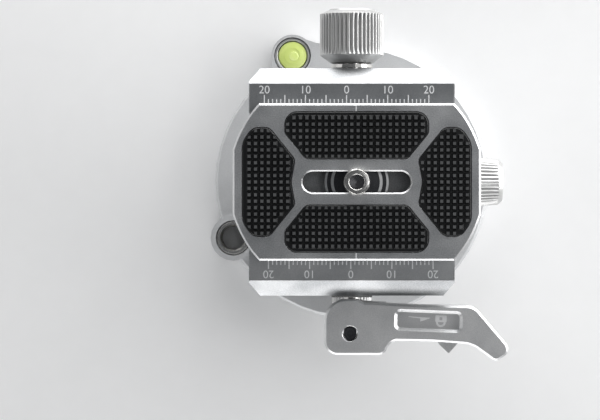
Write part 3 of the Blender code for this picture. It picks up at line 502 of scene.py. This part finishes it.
# %% Pad outlines
def pad_outline(kind, side):
    """Side pads lie along the slot; end pads bulge a little towards it."""
    if kind == "side":
        corners = [(17.3, 16.9, 3.0), (-17.3, 16.9, 3.0), (-17.3, 11.9, 1.6), (-12.2, 5.66, 1.8),
                   (12.2, 5.66, 1.8), (17.3, 11.9, 1.6)]
        return [(PLATE_X + x, side * y) for x, y in rounded(corners)]
    corners = [(27.6, 9.4, 5.0), (25.2, 13.1, 3.2), (21.2, 13.1, 2.4), (15.0, 5.4, 1.6),
               (16.0, 0, 5.0), (15.0, -5.4, 1.6), (21.2, -13.1, 2.4), (25.2, -13.1, 3.2),
               (27.6, -9.4, 5.0)]
    return [(PLATE_X + side * x, y) for x, y in rounded(corners)]


PADS = {"pad_back": ("side", 1), "pad_front": ("side", -1), "pad_right": ("end", 1),
        "pad_left": ("end", -1)}
pad_floor = edges("pad_back")[0].z - 0.3
pockets = [flared(name + "_pocket", grown(pad_outline(*PADS[name]), POCKET_GAP), pad_floor,
                  plate_high.z, POCKET_GAP, metal) for name in PADS]
carve(plate, *pockets)
put(plate, "plate", "blasted_aluminium", "camera_plate")


# %% [markdown]
# ## Studded rubber pads
# Each pad is moulded with a square field of small blunt pyramids, 1.55 mm apart, that bite into
# the camera's base. The field is a loop over a grid, and studs at the rim are trimmed to it.

# %% Pads
STUD_PITCH = 1.55
STUD_FOOT, STUD_TOP = 0.7, 0.36     # half-widths of a stud


def inside(point, outline):
    """True where a point lies within an outline, by counting crossings."""
    hits = False
    for (ax, ay), (bx, by) in zip(outline, outline[1:] + outline[:1]):
        if (ay > point[1]) != (by > point[1]):
            hits ^= point[0] < ax + (point[1] - ay) * (bx - ax) / (by - ay)
    return hits


def trimmed(centre, u, v, outline):
    """A stud's corner, drawn back towards its centre until it lies within the outline."""
    for share in (1, 0.85, 0.7, 0.55, 0.4, 0.25, 0.12):
        spot = (centre[0] + u * share, centre[1] + v * share)
        if inside(spot, outline):
            return spot
    return (centre[0] + u * 0.06, centre[1] + v * 0.06)


def studded_pad(name, kind, side):
    outline = pad_outline(kind, side)
    low, high = edges(name)
    skin = high.z - 0.42
    bm = bmesh.new()
    rows = [[bm.verts.new(Vector((x, y, z)) * MM) for x, y in grown(outline, inset)]
            for z, inset in ((low.z, 0), (skin - 0.15, 0), (skin, -0.15))]
    bm.faces.new(rows[0])
    bm.faces.new(rows[-1])
    count = len(outline)
    for a, b in zip(rows, rows[1:]):
        for i in range(count):
            bm.faces.new((a[i], a[(i + 1) % count], b[(i + 1) % count], b[i]))
    limit = grown(outline, -0.22)
    corners = ((-1, -1), (1, -1), (1, 1), (-1, 1))
    centre_x = sum(x for x, y in outline) / count
    centre_y = sum(y for x, y in outline) / count
    studs = 0
    for i in range(-14, 15):
        for j in range(-14, 15):
            x = round(centre_x / STUD_PITCH) * STUD_PITCH + i * STUD_PITCH
            y = round(centre_y / STUD_PITCH) * STUD_PITCH + j * STUD_PITCH
            if not inside((x, y), limit):
                continue
            ends = []
            for half, z in ((STUD_FOOT, skin - 0.05), (STUD_TOP, high.z)):
                spots = [trimmed((x, y), u * half, v * half, limit) for u, v in corners]
                ends.append([bm.verts.new(Vector((*spot, z)) * MM) for spot in spots])
            foot, top = ends
            bm.faces.new(foot)
            # Stud tops take the grey of bloom and painted highlight.
            bm.faces.new(top).material_index = 1
            for k in range(4):
                bm.faces.new((foot[k], foot[(k + 1) % 4], top[(k + 1) % 4], top[k]))
            studs += 1
    print(name, "has", studs, "studs")
    return finish_mesh(name + "_studs", bm, (RUBBER, BLOOM_AND_PAINTED_HIGHLIGHT), 20)


for name, (kind, side) in PADS.items():
    put(studded_pad(name, kind, side), "plate", "rubber", name)


# %% [markdown]
# ## Camera screw
# The screw is stainless steel with a rolled 1/4 inch thread, 1.27 mm to a turn. Its radius rises
# and falls once per pitch and once per turn, which makes a true helix from one formula.

# %% Thread
PITCH = 1.27                    # 20 threads to the inch
THREAD_DEPTH = 0.55
SCREW_RADIUS = 3.17


def thread_groove(height, angle, pitch):
    """How far into the groove a point lies, from 0 on the crest to 1 in the root."""
    turn = (height / pitch - angle / (2 * math.pi)) % 1
    return abs(2 * turn - 1)


def threaded(name, at, radius, low, high, hollow, depth):
    """A threaded stub with a chamfered tip and a round hollow in its end."""
    def wave(r, height, angle):
        if r < radius - 0.01:
            return r
        fade = max(min(1, (high - height) / 0.7, (height - low) / 0.4), 0)
        return r - THREAD_DEPTH * thread_groove(height, angle, PITCH) * fade - 0.35 * (1 - fade)
    rings = [(hollow, high - depth), (0.02, high - depth - 0.2), (0.02, low), (radius - 0.4, low)]
    steps = round((high - low) / 0.12)
    rings += [(radius, low + (high - low) * i / steps) for i in range(1, steps)]
    rings += [(radius - 0.4, high - 0.05), (radius - 0.6, high), (hollow + 0.12, high),
              (hollow, high - 0.12)]
    # The hollow's floor and inner wall take the darkened steel: painted shade inside the hole.
    return revolve(name, rings, (STEEL, PAINTED_SHADE_STEEL), at, steps=64, bright=(0, len(rings) - 1),
                   radius_at=wave)


screw_low, screw_high = edges("camera_screw")
screw_mid = middle("camera_screw")
at_screw = (screw_mid.x, 0, 0)
thread = threaded("camera_screw_thread", at_screw, SCREW_RADIUS, plate_high.z + 0.3, screw_high.z,
                  1.85, 2.4)
put(thread, "camera_screw", "steel", "camera_screw")
roof = plate_high.z - PLATE_ROOF
shank = revolve("camera_screw_head", [
    (0.02, screw_low.z), (5.5, screw_low.z), (5.8, screw_low.z + 0.3), (5.8, roof - 1.9),
    (5.5, roof - 1.6), (2.2, roof - 1.6), (2.2, plate_high.z + 0.4), (0.02, plate_high.z + 0.4)],
    (STEEL,), at_screw, steps=64)
put(shank, "camera_screw", "steel")


# %% [markdown]
# ## Jaws and their scales
# The jaws keep their CAD mesh. A small bevel on the sharp edges takes the bright chamfer material,
# and the flat tops have a dye of their own, so a thin slab of that finish lies on each; the moving
# jaw's slab is paler as painted light. The marks are laser engraved: a line per millimetre, longer
# ones at 5 and 10, and plain numbers.

# %% Dress the CAD nodes
def dress(node, material, width=0.0, edge=None):
    """Give a CAD node its material, smooth shading and, if asked, small bright bevels."""
    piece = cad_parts[node]
    piece.data.materials.clear()
    piece.data.materials.append(material)
    piece.data.shade_smooth()
    piece.data.set_sharp_from_angle(angle=math.radians(32))
    if width:
        piece.data.materials.append(edge or material)
        bevel = piece.modifiers.new("edge", "BEVEL")
        bevel.width = width * MM
        bevel.segments = 2
        bevel.limit_method = "ANGLE"
        bevel.angle_limit = math.radians(40)
        bevel.use_clamp_overlap = True
        bevel.material = 1
        # Large faces decide the shading, so the narrow bevels don't tint the faces beside them.
        piece.modifiers.new("normals", "WEIGHTED_NORMAL").keep_sharp = True
    return piece


dress("clamp_body", BLASTED, 0.18, CUT_EDGE)
dress("moving_jaw", BLASTED, 0.18, CUT_EDGE)
print("clamp spans", [round(v, 1) for v in edges("clamp_body")[0]], "to",
      [round(v, 1) for v in edges("clamp_body")[1]])

# %% Scales
clamp_x = edges("clamp_body")[1].x
strip_y = edges("clamp_body")[1].y - 3.85
plate_side = plate_high.y
JAW_Z = JAW_TOP / MM
MARK = 0.02                     # height of an engraved mark's pale fill
TICK_HALF = 0.13
LONG_TICK, SHORT_TICK = 2.0, 1.0
NUMBER_SIZE, NUMBER_REACH = 2.75, 3.35


def bar(bm, x, y, z):
    """A flat box between pairs of limits, in millimetres."""
    corners = [bm.verts.new(Vector((a, b, c)) * MM) for c in z for a, b in
               ((x[0], y[0]), (x[1], y[0]), (x[1], y[1]), (x[0], y[1]))]
    for face in ((3, 2, 1, 0), (4, 5, 6, 7), (0, 1, 5, 4), (1, 2, 6, 5), (2, 3, 7, 6),
                 (3, 0, 4, 7)):
        bm.faces.new([corners[i] for i in face])


def text_mesh(name, words, size, spot, turn):
    """A word as a thin solid, centred on a spot in millimetres."""
    curve = bpy.data.curves.new(name, "FONT")
    curve.body = words
    curve.size = size * MM
    curve.extrude = MARK / 2 * MM
    curve.align_x = "CENTER"
    curve.align_y = "CENTER"
    holder = bpy.data.objects.new(name, curve)
    bpy.context.scene.collection.objects.link(holder)
    bpy.context.view_layer.update()
    graph = bpy.context.evaluated_depsgraph_get()
    mesh = bpy.data.meshes.new_from_object(holder.evaluated_get(graph))
    bpy.data.objects.remove(holder, do_unlink=True)
    mesh.transform(Matrix.Translation(Vector(spot) * MM) @ Matrix.Rotation(turn, 4, "Z"))
    return mesh


def join_meshes(name, meshes, material):
    bm = bmesh.new()
    for mesh in meshes:
        bm.from_mesh(mesh)
        bpy.data.meshes.remove(mesh)
    return finish_mesh(name, bm, (material,))


def scale(name, side, zero_x, body):
    """Ticks from -20 to 20 mm, and the numbers 20 10 0 10 20 turned to be read from outside."""
    bm = bmesh.new()
    for i in range(-20, 21):
        length = LONG_TICK if i % 5 == 0 else SHORT_TICK
        reach = sorted((side * (plate_side + 0.15), side * (plate_side + 0.15 + length)))
        x = zero_x + i
        bar(bm, (x - TICK_HALF, x + TICK_HALF), reach, (JAW_Z - 0.01, JAW_Z + MARK))
    ticks = bpy.data.meshes.new("ticks")
    bm.to_mesh(ticks)
    bm.free()
    turn = 0 if side > 0 else math.pi
    numbers = [text_mesh("number", str(abs(v)), NUMBER_SIZE,
                         (zero_x + v, side * (plate_side + NUMBER_REACH), JAW_Z + MARK / 2), turn)
               for v in (-20, -10, 0, 10, 20)]
    return put(join_meshes(name, [ticks] + numbers, LASER_MARK), body, "blasted_aluminium")


for name, side, zero_x, body, tone in (("scale_back", 1, -1.26, "clamp", SCALE_GROUND),
                                       ("scale_front", -1, -0.24, "jaw", PAINTED_LIGHT_GROUND)):
    near, far = side * (plate_side - 1.9), side * (strip_y - 0.12)
    outline = [(-clamp_x + 0.25, near), (clamp_x - 0.25, near), (clamp_x - 0.25, far),
               (-clamp_x + 0.25, far)]
    ground = slab(name + "_ground", outline, JAW_Z - 0.05, JAW_Z + 0.01, (tone,))
    put(ground, body, "blasted_aluminium")
    scale(name, side, zero_x, body)

# %% Index marks on the plate
index_bm = bmesh.new()
for side in (-1, 1):
    reach = sorted((side * (plate_side - 0.5), side * (plate_side - 1.9)))
    bar(index_bm, (PLATE_X - 0.28, PLATE_X - 0.02), reach,
        (plate_high.z - 0.01, plate_high.z + MARK))
put(finish_mesh("plate_index", index_bm, (LASER_MARK,)), "plate", "blasted_aluminium")


# %% [markdown]
# ## Lever
# The lever is a milled fork on a pin. A cam on the fork pushes the moving jaw in as the lever
# swings home. Both edges have a bright chamfer, and a pocket with sloped sides carries the
# locking mark.

# %% Lever body
pin = middle("lever_pin")
lever_low, lever_high = edges("lever")
PIN_X, PIN_Y = pin.x, pin.y
LEVER_CHAMFER = 0.5
CAM_RADIUS = 5.25
PIN_HOLE = 1.85                 # radius


def lever_outline():
    corners = [
        (-6.3, 8.4, 5.3), (1.6, 8.4, 1.5), (3.4, 7.55, 1.5), (16.9, 6.9, 0), (30.3, 6.75, 4.0),
        (39.7, -4.3, 2.2), (35.5, -6.85, 1.4), (29.6, -2.6, 7.0), (20.0, -1.9, 0),
        (9.9, -1.7, 2.6), (8.3, -5.2, 2.2), (-6.3, -5.2, 3.3)]
    return [(PIN_X + x, PIN_Y + y) for x, y in rounded(corners, 12)]


def box_solid(name, x, y, z, materials):
    outline = [(x[0], y[0]), (x[1], y[0]), (x[1], y[1]), (x[0], y[1])]
    return stack(name, [[(a, b, c) for a, b in outline] for c in z], materials)


lever_metal = (FINE_BLASTED, CUT_EDGE)
lever = slab("lever_body", lever_outline(), lever_low.z, lever_high.z, lever_metal, LEVER_CHAMFER,
             LEVER_CHAMFER)
bar_z = middle("drawbar").z
fork = box_solid("fork_cut", (PIN_X - 12, PIN_X + 5.3), (PIN_Y - 12, PIN_Y + 12),
                 (bar_z - 2.3, bar_z + 2.3), lever_metal)
under = box_solid("under_cut", (PIN_X + 8.9, PIN_X + 60), (PIN_Y - 20, PIN_Y + 20),
                  (lever_low.z - 1, lever_high.z - 6.5), lever_metal)
cam = ([(PIN_X, PIN_Y + 12), (PIN_X - 12, PIN_Y + 12), (PIN_X - 12, PIN_Y + 2.8)]
       + arc((PIN_X, PIN_Y + 3.1), CAM_RADIUS, 183, 90, 32))
cam_levels = (lever_low.z - 1, lever_high.z - 2.9)
cam_cut = stack("cam_cut", [[(x, y, z) for x, y in cam] for z in cam_levels], lever_metal)
hole = flared("pin_cut", circle(PIN_HOLE, (PIN_X, PIN_Y)), lever_low.z - 1, lever_high.z, 0.15,
              lever_metal)
carve(lever, fork, under, cam_cut, hole)

print("lever with its fork and cam has", len(lever.data.polygons), "faces")

# %% Label pocket
LABEL_TURN = math.radians(-2.3)
LABEL_DEPTH = 0.75
LABEL_FROM_PIN = (19.1, 3.1)


def on_label(points):
    """Points about the label's middle, turned with the arm."""
    spin = Matrix.Rotation(LABEL_TURN, 2)
    return [tuple(spin @ Vector(p) + Vector((PIN_X + LABEL_FROM_PIN[0], PIN_Y + LABEL_FROM_PIN[1])))
            for p in points]


floor_shape = rounded([(-7.6, -1.9, 0.8), (7.6, -1.9, 0.8), (7.6, 1.9, 0.8), (-7.6, 1.9, 0.8)])
label_loops = []
for inset, depth in ((0, LABEL_DEPTH), (0.75, 0), (1.25, -0.5)):
    label_loops.append([(x, y, lever_high.z - depth)
                        for x, y in on_label(grown(floor_shape, inset))])
carve(lever, stack("label_cut", label_loops, lever_metal, bright=(0, 1)))
put(lever, "lever", "blasted_aluminium", "lever")

# %% Locking mark: an arrow and a plain padlock
mark_bm = bmesh.new()
mark_z = lever_high.z - LABEL_DEPTH
levels = (mark_z - 0.01, mark_z + MARK)


def mark(points, hole=None):
    """A flat mark on the label's floor, with an optional hole through it."""
    loops = [on_label(points)] + ([on_label(hole)] if hole else [])
    rings = [[[mark_bm.verts.new(Vector((x, y, z)) * MM) for x, y in loop] for z in levels]
             for loop in loops]
    for ring in rings:
        count = len(ring[0])
        for i in range(count):
            mark_bm.faces.new((ring[0][i], ring[0][(i + 1) % count], ring[1][(i + 1) % count],
                               ring[1][i]))
    for level in (0, 1):
        if not hole:
            mark_bm.faces.new(rings[0][level])
            continue
        outer, inner = rings[0][level], rings[1][level]
        count = len(outer)
        for i in range(count):
            mark_bm.faces.new((outer[i], outer[(i + 1) % count], inner[(i + 1) % count], inner[i]))


mark([(-4.9, 0.75), (-2.0, 0.52), (-2.0, -0.28), (0.65, 0.75), (-4.9, 0.92)])
mark(rounded([(1.65, -0.2, 0.25), (4.45, -0.2, 0.25), (4.45, 1.45, 0.25), (1.65, 1.45, 0.25)], 4),
     [(3.05 + 0.36 * u, 0.62 + 0.36 * v) for u, v in
      rounded([(-1, -1, 0.5), (1, -1, 0.5), (1, 1, 0.5), (-1, 1, 0.5)], 4)])
mark(arc((3.05, -0.24), 1.2, 180, 360, 16) + arc((3.05, -0.24), 0.7, 360, 180, 16))
put(finish_mesh("lever_mark", mark_bm, (LASER_MARK,)), "lever", "blasted_aluminium")

# %% Lever pin
pin_low, pin_high = edges("lever_pin")
lever_pin = revolve("lever_pin_turned", [
    (0.02, pin_low.z), (1.35, pin_low.z), (1.55, pin_low.z + 0.2), (1.55, pin_high.z - 0.2),
    (1.35, pin_high.z), (1.0, pin_high.z), (0.9, pin_high.z - 0.25), (0.02, pin_high.z - 0.25)],
    (BLACK_OXIDE,), (PIN_X, PIN_Y, 0), steps=48)
put(lever_pin, "drawbar", "black_steel", "lever_pin")


# %% [markdown]
# ## Knobs
# A straight-knurled knob is turned, then cut with a gear-like tool that leaves rows of narrow
# grooves. The radius is lowered in each groove by a smooth wave, and the grooves fade at both ends
# of the grip, as they do where the tool lifts off.

# %% Knob helper
def knurled(name, axis, outward, count, depth, profile, at, grip):
    """A knob: the profile's distances run from the inner end outwards; grip is the grooved part."""
    def groove(r, height, angle):
        h = height * outward
        if not grip[0] <= h <= grip[1] or r < grip[2]:
            return r
        fade = min(1, (h - grip[0]) / 0.5, (grip[1] - h) / 0.35)
        wave = 0.5 + 0.5 * math.cos(count * angle)
        return r - depth * fade * (1 - wave ** 0.55)
    rings = [(r, outward * h) for r, h in profile]
    return revolve(name, rings, (TURNED,), at, axis, count * 10, radius_at=groove)


def grip_rings(radius, start, end, steps):
    return [(radius, start + (end - start) * i / steps) for i in range(steps + 1)]


print("knurling helper ready; a 20 mm grip gets", len(grip_rings(10, 0, 20, 10)), "rings")


# %% Tension knob
knob_low, knob_high = edges("tension_knob")
knob_mid = middle("tension_knob")
inner, outer = knob_low.y, knob_high.y
knob_radius = (knob_high.z - knob_low.z) / 2
profile = ([(2.3, inner), (4.9, inner), (5.3, inner + 0.15), (knob_radius - 0.15, inner + 1.9)]
           + grip_rings(knob_radius, inner + 2.1, outer - 1.3, 10)
           + [(knob_radius - 0.2, outer - 1.12), (5.95, outer - 0.45), (5.75, outer - 0.4),
              (5.55, outer - 0.1), (5.3, outer), (0.02, outer - 0.03), (0.02, outer - 1.4),
              (2.3, outer - 1.4)])
knob = knurled("tension_knob_knurled", "Y", 1, 45, 0.5, profile, (0, 0, knob_mid.z),
               (inner + 2.1, outer - 1.3, knob_radius - 0.05))
put(knob, "tension_knob", "turned_aluminium", "tension_knob")

# %% Lock knobs
lock_low, lock_high = edges("lock_knob")
start, end = lock_low.x, lock_high.x
profile = ([(3.3, start), (5.5, start), (5.8, start + 0.3), (6.85, start + 1.5), (7.0, start + 1.9)]
           + [(7.0 - 0.9 * i / 8, start + 2.0 + (end - start - 3.2) * i / 8) for i in range(9)]
           + [(5.9, end - 0.9), (5.1, end), (0.02, end - 0.05), (0.02, end - 1.6),
              (3.3, end - 1.6)])
lock = knurled("lock_knob_knurled", "X", 1, 36, 0.28, profile, (0, 0, middle("lock_knob").z),
               (start + 1.9, end - 1.1, 6.0))
put(lock, "lock_knob", "turned_aluminium", "lock_knob")
pan_low, pan_high = edges("pan_knob")
start, end = -pan_high.y, -pan_low.y
profile = ([(2.8, start), (4.2, start), (5.3, start + 1.7)]
           + grip_rings(5.5, start + 1.9, end - 1.2, 8)
           + [(5.35, end - 1.0), (4.6, end), (0.02, end - 0.05), (0.02, end - 1.7),
              (2.8, end - 1.7)])
pan_knob = knurled("pan_knob_knurled", "Y", -1, 30, 0.28, profile, (0, 0, middle("pan_knob").z),
                   (start + 1.9, end - 1.2, 5.4))
put(pan_knob, "pan_knob", "turned_aluminium", "pan_knob")


# %% [markdown]
# ## Bullseye level and accessory port
# The level is a clear vial of dyed fluid with a raised ring and a bubble, in a turned aluminium
# cup. The port is a threaded steel bush in a raised boss.

# %% Level
vial_low, vial_high = edges("level_vial")
vial = middle("level_vial")
at_vial = (vial.x, vial.y, 0)
dome = [(3.9 * math.cos(a), vial_high.z - 0.55 + 0.5 * math.sin(a))
        for a in [math.radians(8 * i) for i in range(11)]]
vial_wall = [(0.02, vial_low.z), (3.7, vial_low.z), (3.9, vial_low.z + 0.2)]
put(revolve("level_vial_dome", vial_wall + dome + [(0.02, vial_high.z - 0.05)], (FLUID,), at_vial,
            steps=64), "base", "level_fluid", "level_vial")
ring_z = vial_high.z - 0.09
put(revolve("level_ring", [(1.95, ring_z), (2.15, ring_z), (2.15, ring_z + 0.03),
                           (1.95, ring_z + 0.03)], (FLUID,), at_vial, steps=64),
    "base", "level_fluid")
put(revolve("level_bubble", [(0.02, vial_high.z - 0.1), (1.3, vial_high.z - 0.1),
                             (1.2, vial_high.z - 0.02), (0.02, vial_high.z)], (BUBBLE,),
            (vial.x + 0.3, vial.y - 0.2, 0), steps=48), "base", "level_fluid")
cup_low, cup_high = edges("level_cup")
put(revolve("level_cup_turned", [
    (0.02, cup_low.z), (4.8, cup_low.z), (4.8, cup_high.z - 0.15), (4.65, cup_high.z),
    (4.3, cup_high.z), (4.2, cup_high.z - 0.1), (4.2, cup_low.z + 0.8), (0.02, cup_low.z + 0.8)],
    (TURNED,), at_vial, steps=64), "base", "turned_aluminium", "level_cup")

# %% Port bush with a cut thread
bush_low, bush_high = edges("accessory_bush")
bush = middle("accessory_bush")


def cut_thread(name, at, bore, outside, low, high, pitch, depth, material):
    """A bush whose bore carries a thread, with a countersunk mouth at both ends."""
    def wave(r, height, angle):
        if abs(r - bore) > 0.001:
            return r
        fade = max(0, min(1, (high - height) / 0.6, (height - low) / 0.6))
        return r + depth * thread_groove(height, angle, pitch) * fade
    steps = round((high - low - 1) / 0.16)
    rings = [(bore, high - 0.5 - (high - low - 1) * i / steps) for i in range(steps + 1)]
    rings += [(bore + 0.45, low), (outside - 0.2, low), (outside, low + 0.2), (outside, high - 0.2),
              (outside - 0.2, high), (bore + 0.5, high)]
    return revolve(name, rings, (material,), at, steps=56, radius_at=wave)


put(cut_thread("port_bush_threaded", (bush.x, bush.y, 0), 3.18, 4.6, bush_low.z, bush_high.z, PITCH,
               0.4, STEEL), "base", "steel", "accessory_bush")
socket_low, socket_high = edges("thread_bush")
put(cut_thread("base_bush_threaded", (0, 0, 0), 4.76, 7.5, socket_low.z, socket_high.z, 1.59, 0.5,
               STEEL), "base", "steel", "thread_bush")


# %% [markdown]
# ## Base, housing and ball
# These keep their CAD meshes with a real finish, and the paint on the base and housing is made
# lighter as painted light. The base gets a ring of printed degree marks round the housing, as
# panning heads have.

# %% Dress the rest
dress("base_plate", SILVER_PAINT_AND_PAINTED_LIGHT, 0.25)
dress("housing", SILVER_PAINT_AND_PAINTED_LIGHT, 0.2)
dress("ball_collar", BLASTED, 0.2, CUT_EDGE)
dress("safety_slider", FINE_BLASTED, 0.15, CUT_EDGE)
for node in ("ball", "ball_stem"):
    dress(node, BALL_FINISH)
for node in ("pan_retainer", "lock_screw", "pan_screw", "guide_pin_left", "guide_pin_right",
             "jaw_spring_left", "jaw_spring_right", "knob_washer", "drawbar", "cam_shoe"):
    dress(node, STEEL)
wash_low, wash_high = edges("screw_washer")
# The washer takes black oxide as painted shade for the dim channel it lies in; its chamfer bands
# keep bright cut metal.
washer = revolve("screw_washer_turned", [
    (2.5, wash_low.z), (7.6, wash_low.z), (7.8, wash_low.z + 0.2), (7.8, wash_high.z - 0.55),
    (7.25, wash_high.z - 0.35), (6.3, wash_high.z - 0.35), (5.6, wash_high.z), (2.5, wash_high.z)],
    (BLACK_OXIDE, CUT_EDGE), at_screw, bright=(3, 5))
put(washer, "screw_washer", "steel", "screw_washer")
for node in ("retainer_screw", "stud_grub_screw", "slider_screw", "stop_screw_left",
             "stop_screw_right"):
    dress(node, BLACK_OXIDE)
for node in ("pan_washer", "ball_seat", "pan_shoe"):
    dress(node, ACETAL)
for node in ("wedge_ring", "lock_piston"):
    dress(node, BRASS)

print("CAD nodes that stay in view:",
      sum(not node.hide_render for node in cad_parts.values()))

# %% Degree marks
base_top = edges("pan_washer")[0].z - 0.3
FIRST_MARK = 24.7               # radius where the marks start, clear of the housing
NUMBER_RING = 28.1
degree_bm = bmesh.new()
for i in range(72):
    length = 1.9 if i % 6 == 0 else (1.5 if i % 2 == 0 else 1.0)
    bar_corners = [(FIRST_MARK, -0.09), (FIRST_MARK + length, -0.09), (FIRST_MARK + length, 0.09),
                   (FIRST_MARK, 0.09)]
    spin = Matrix.Rotation(math.radians(5 * i), 2)
    loops = [[degree_bm.verts.new(Vector((*(spin @ Vector(p)), z)) * MM) for p in bar_corners]
             for z in (base_top - 0.01, base_top + MARK)]
    degree_bm.faces.new(loops[0])
    degree_bm.faces.new(loops[1])
    for k in range(4):
        following = (k + 1) % 4
        degree_bm.faces.new((loops[0][k], loops[0][following], loops[1][following], loops[1][k]))
ticks = bpy.data.meshes.new("degree_ticks")
degree_bm.to_mesh(ticks)
degree_bm.free()
numbers = []
for i in range(12):
    angle = math.radians(30 * i)
    spot = (NUMBER_RING * math.sin(angle), -NUMBER_RING * math.cos(angle), base_top + MARK / 2)
    numbers.append(text_mesh("degrees", str(30 * i), 2.3, spot, angle))
put(join_meshes("degree_marks", [ticks] + numbers, INK_BLACK), "base", "blasted_aluminium")
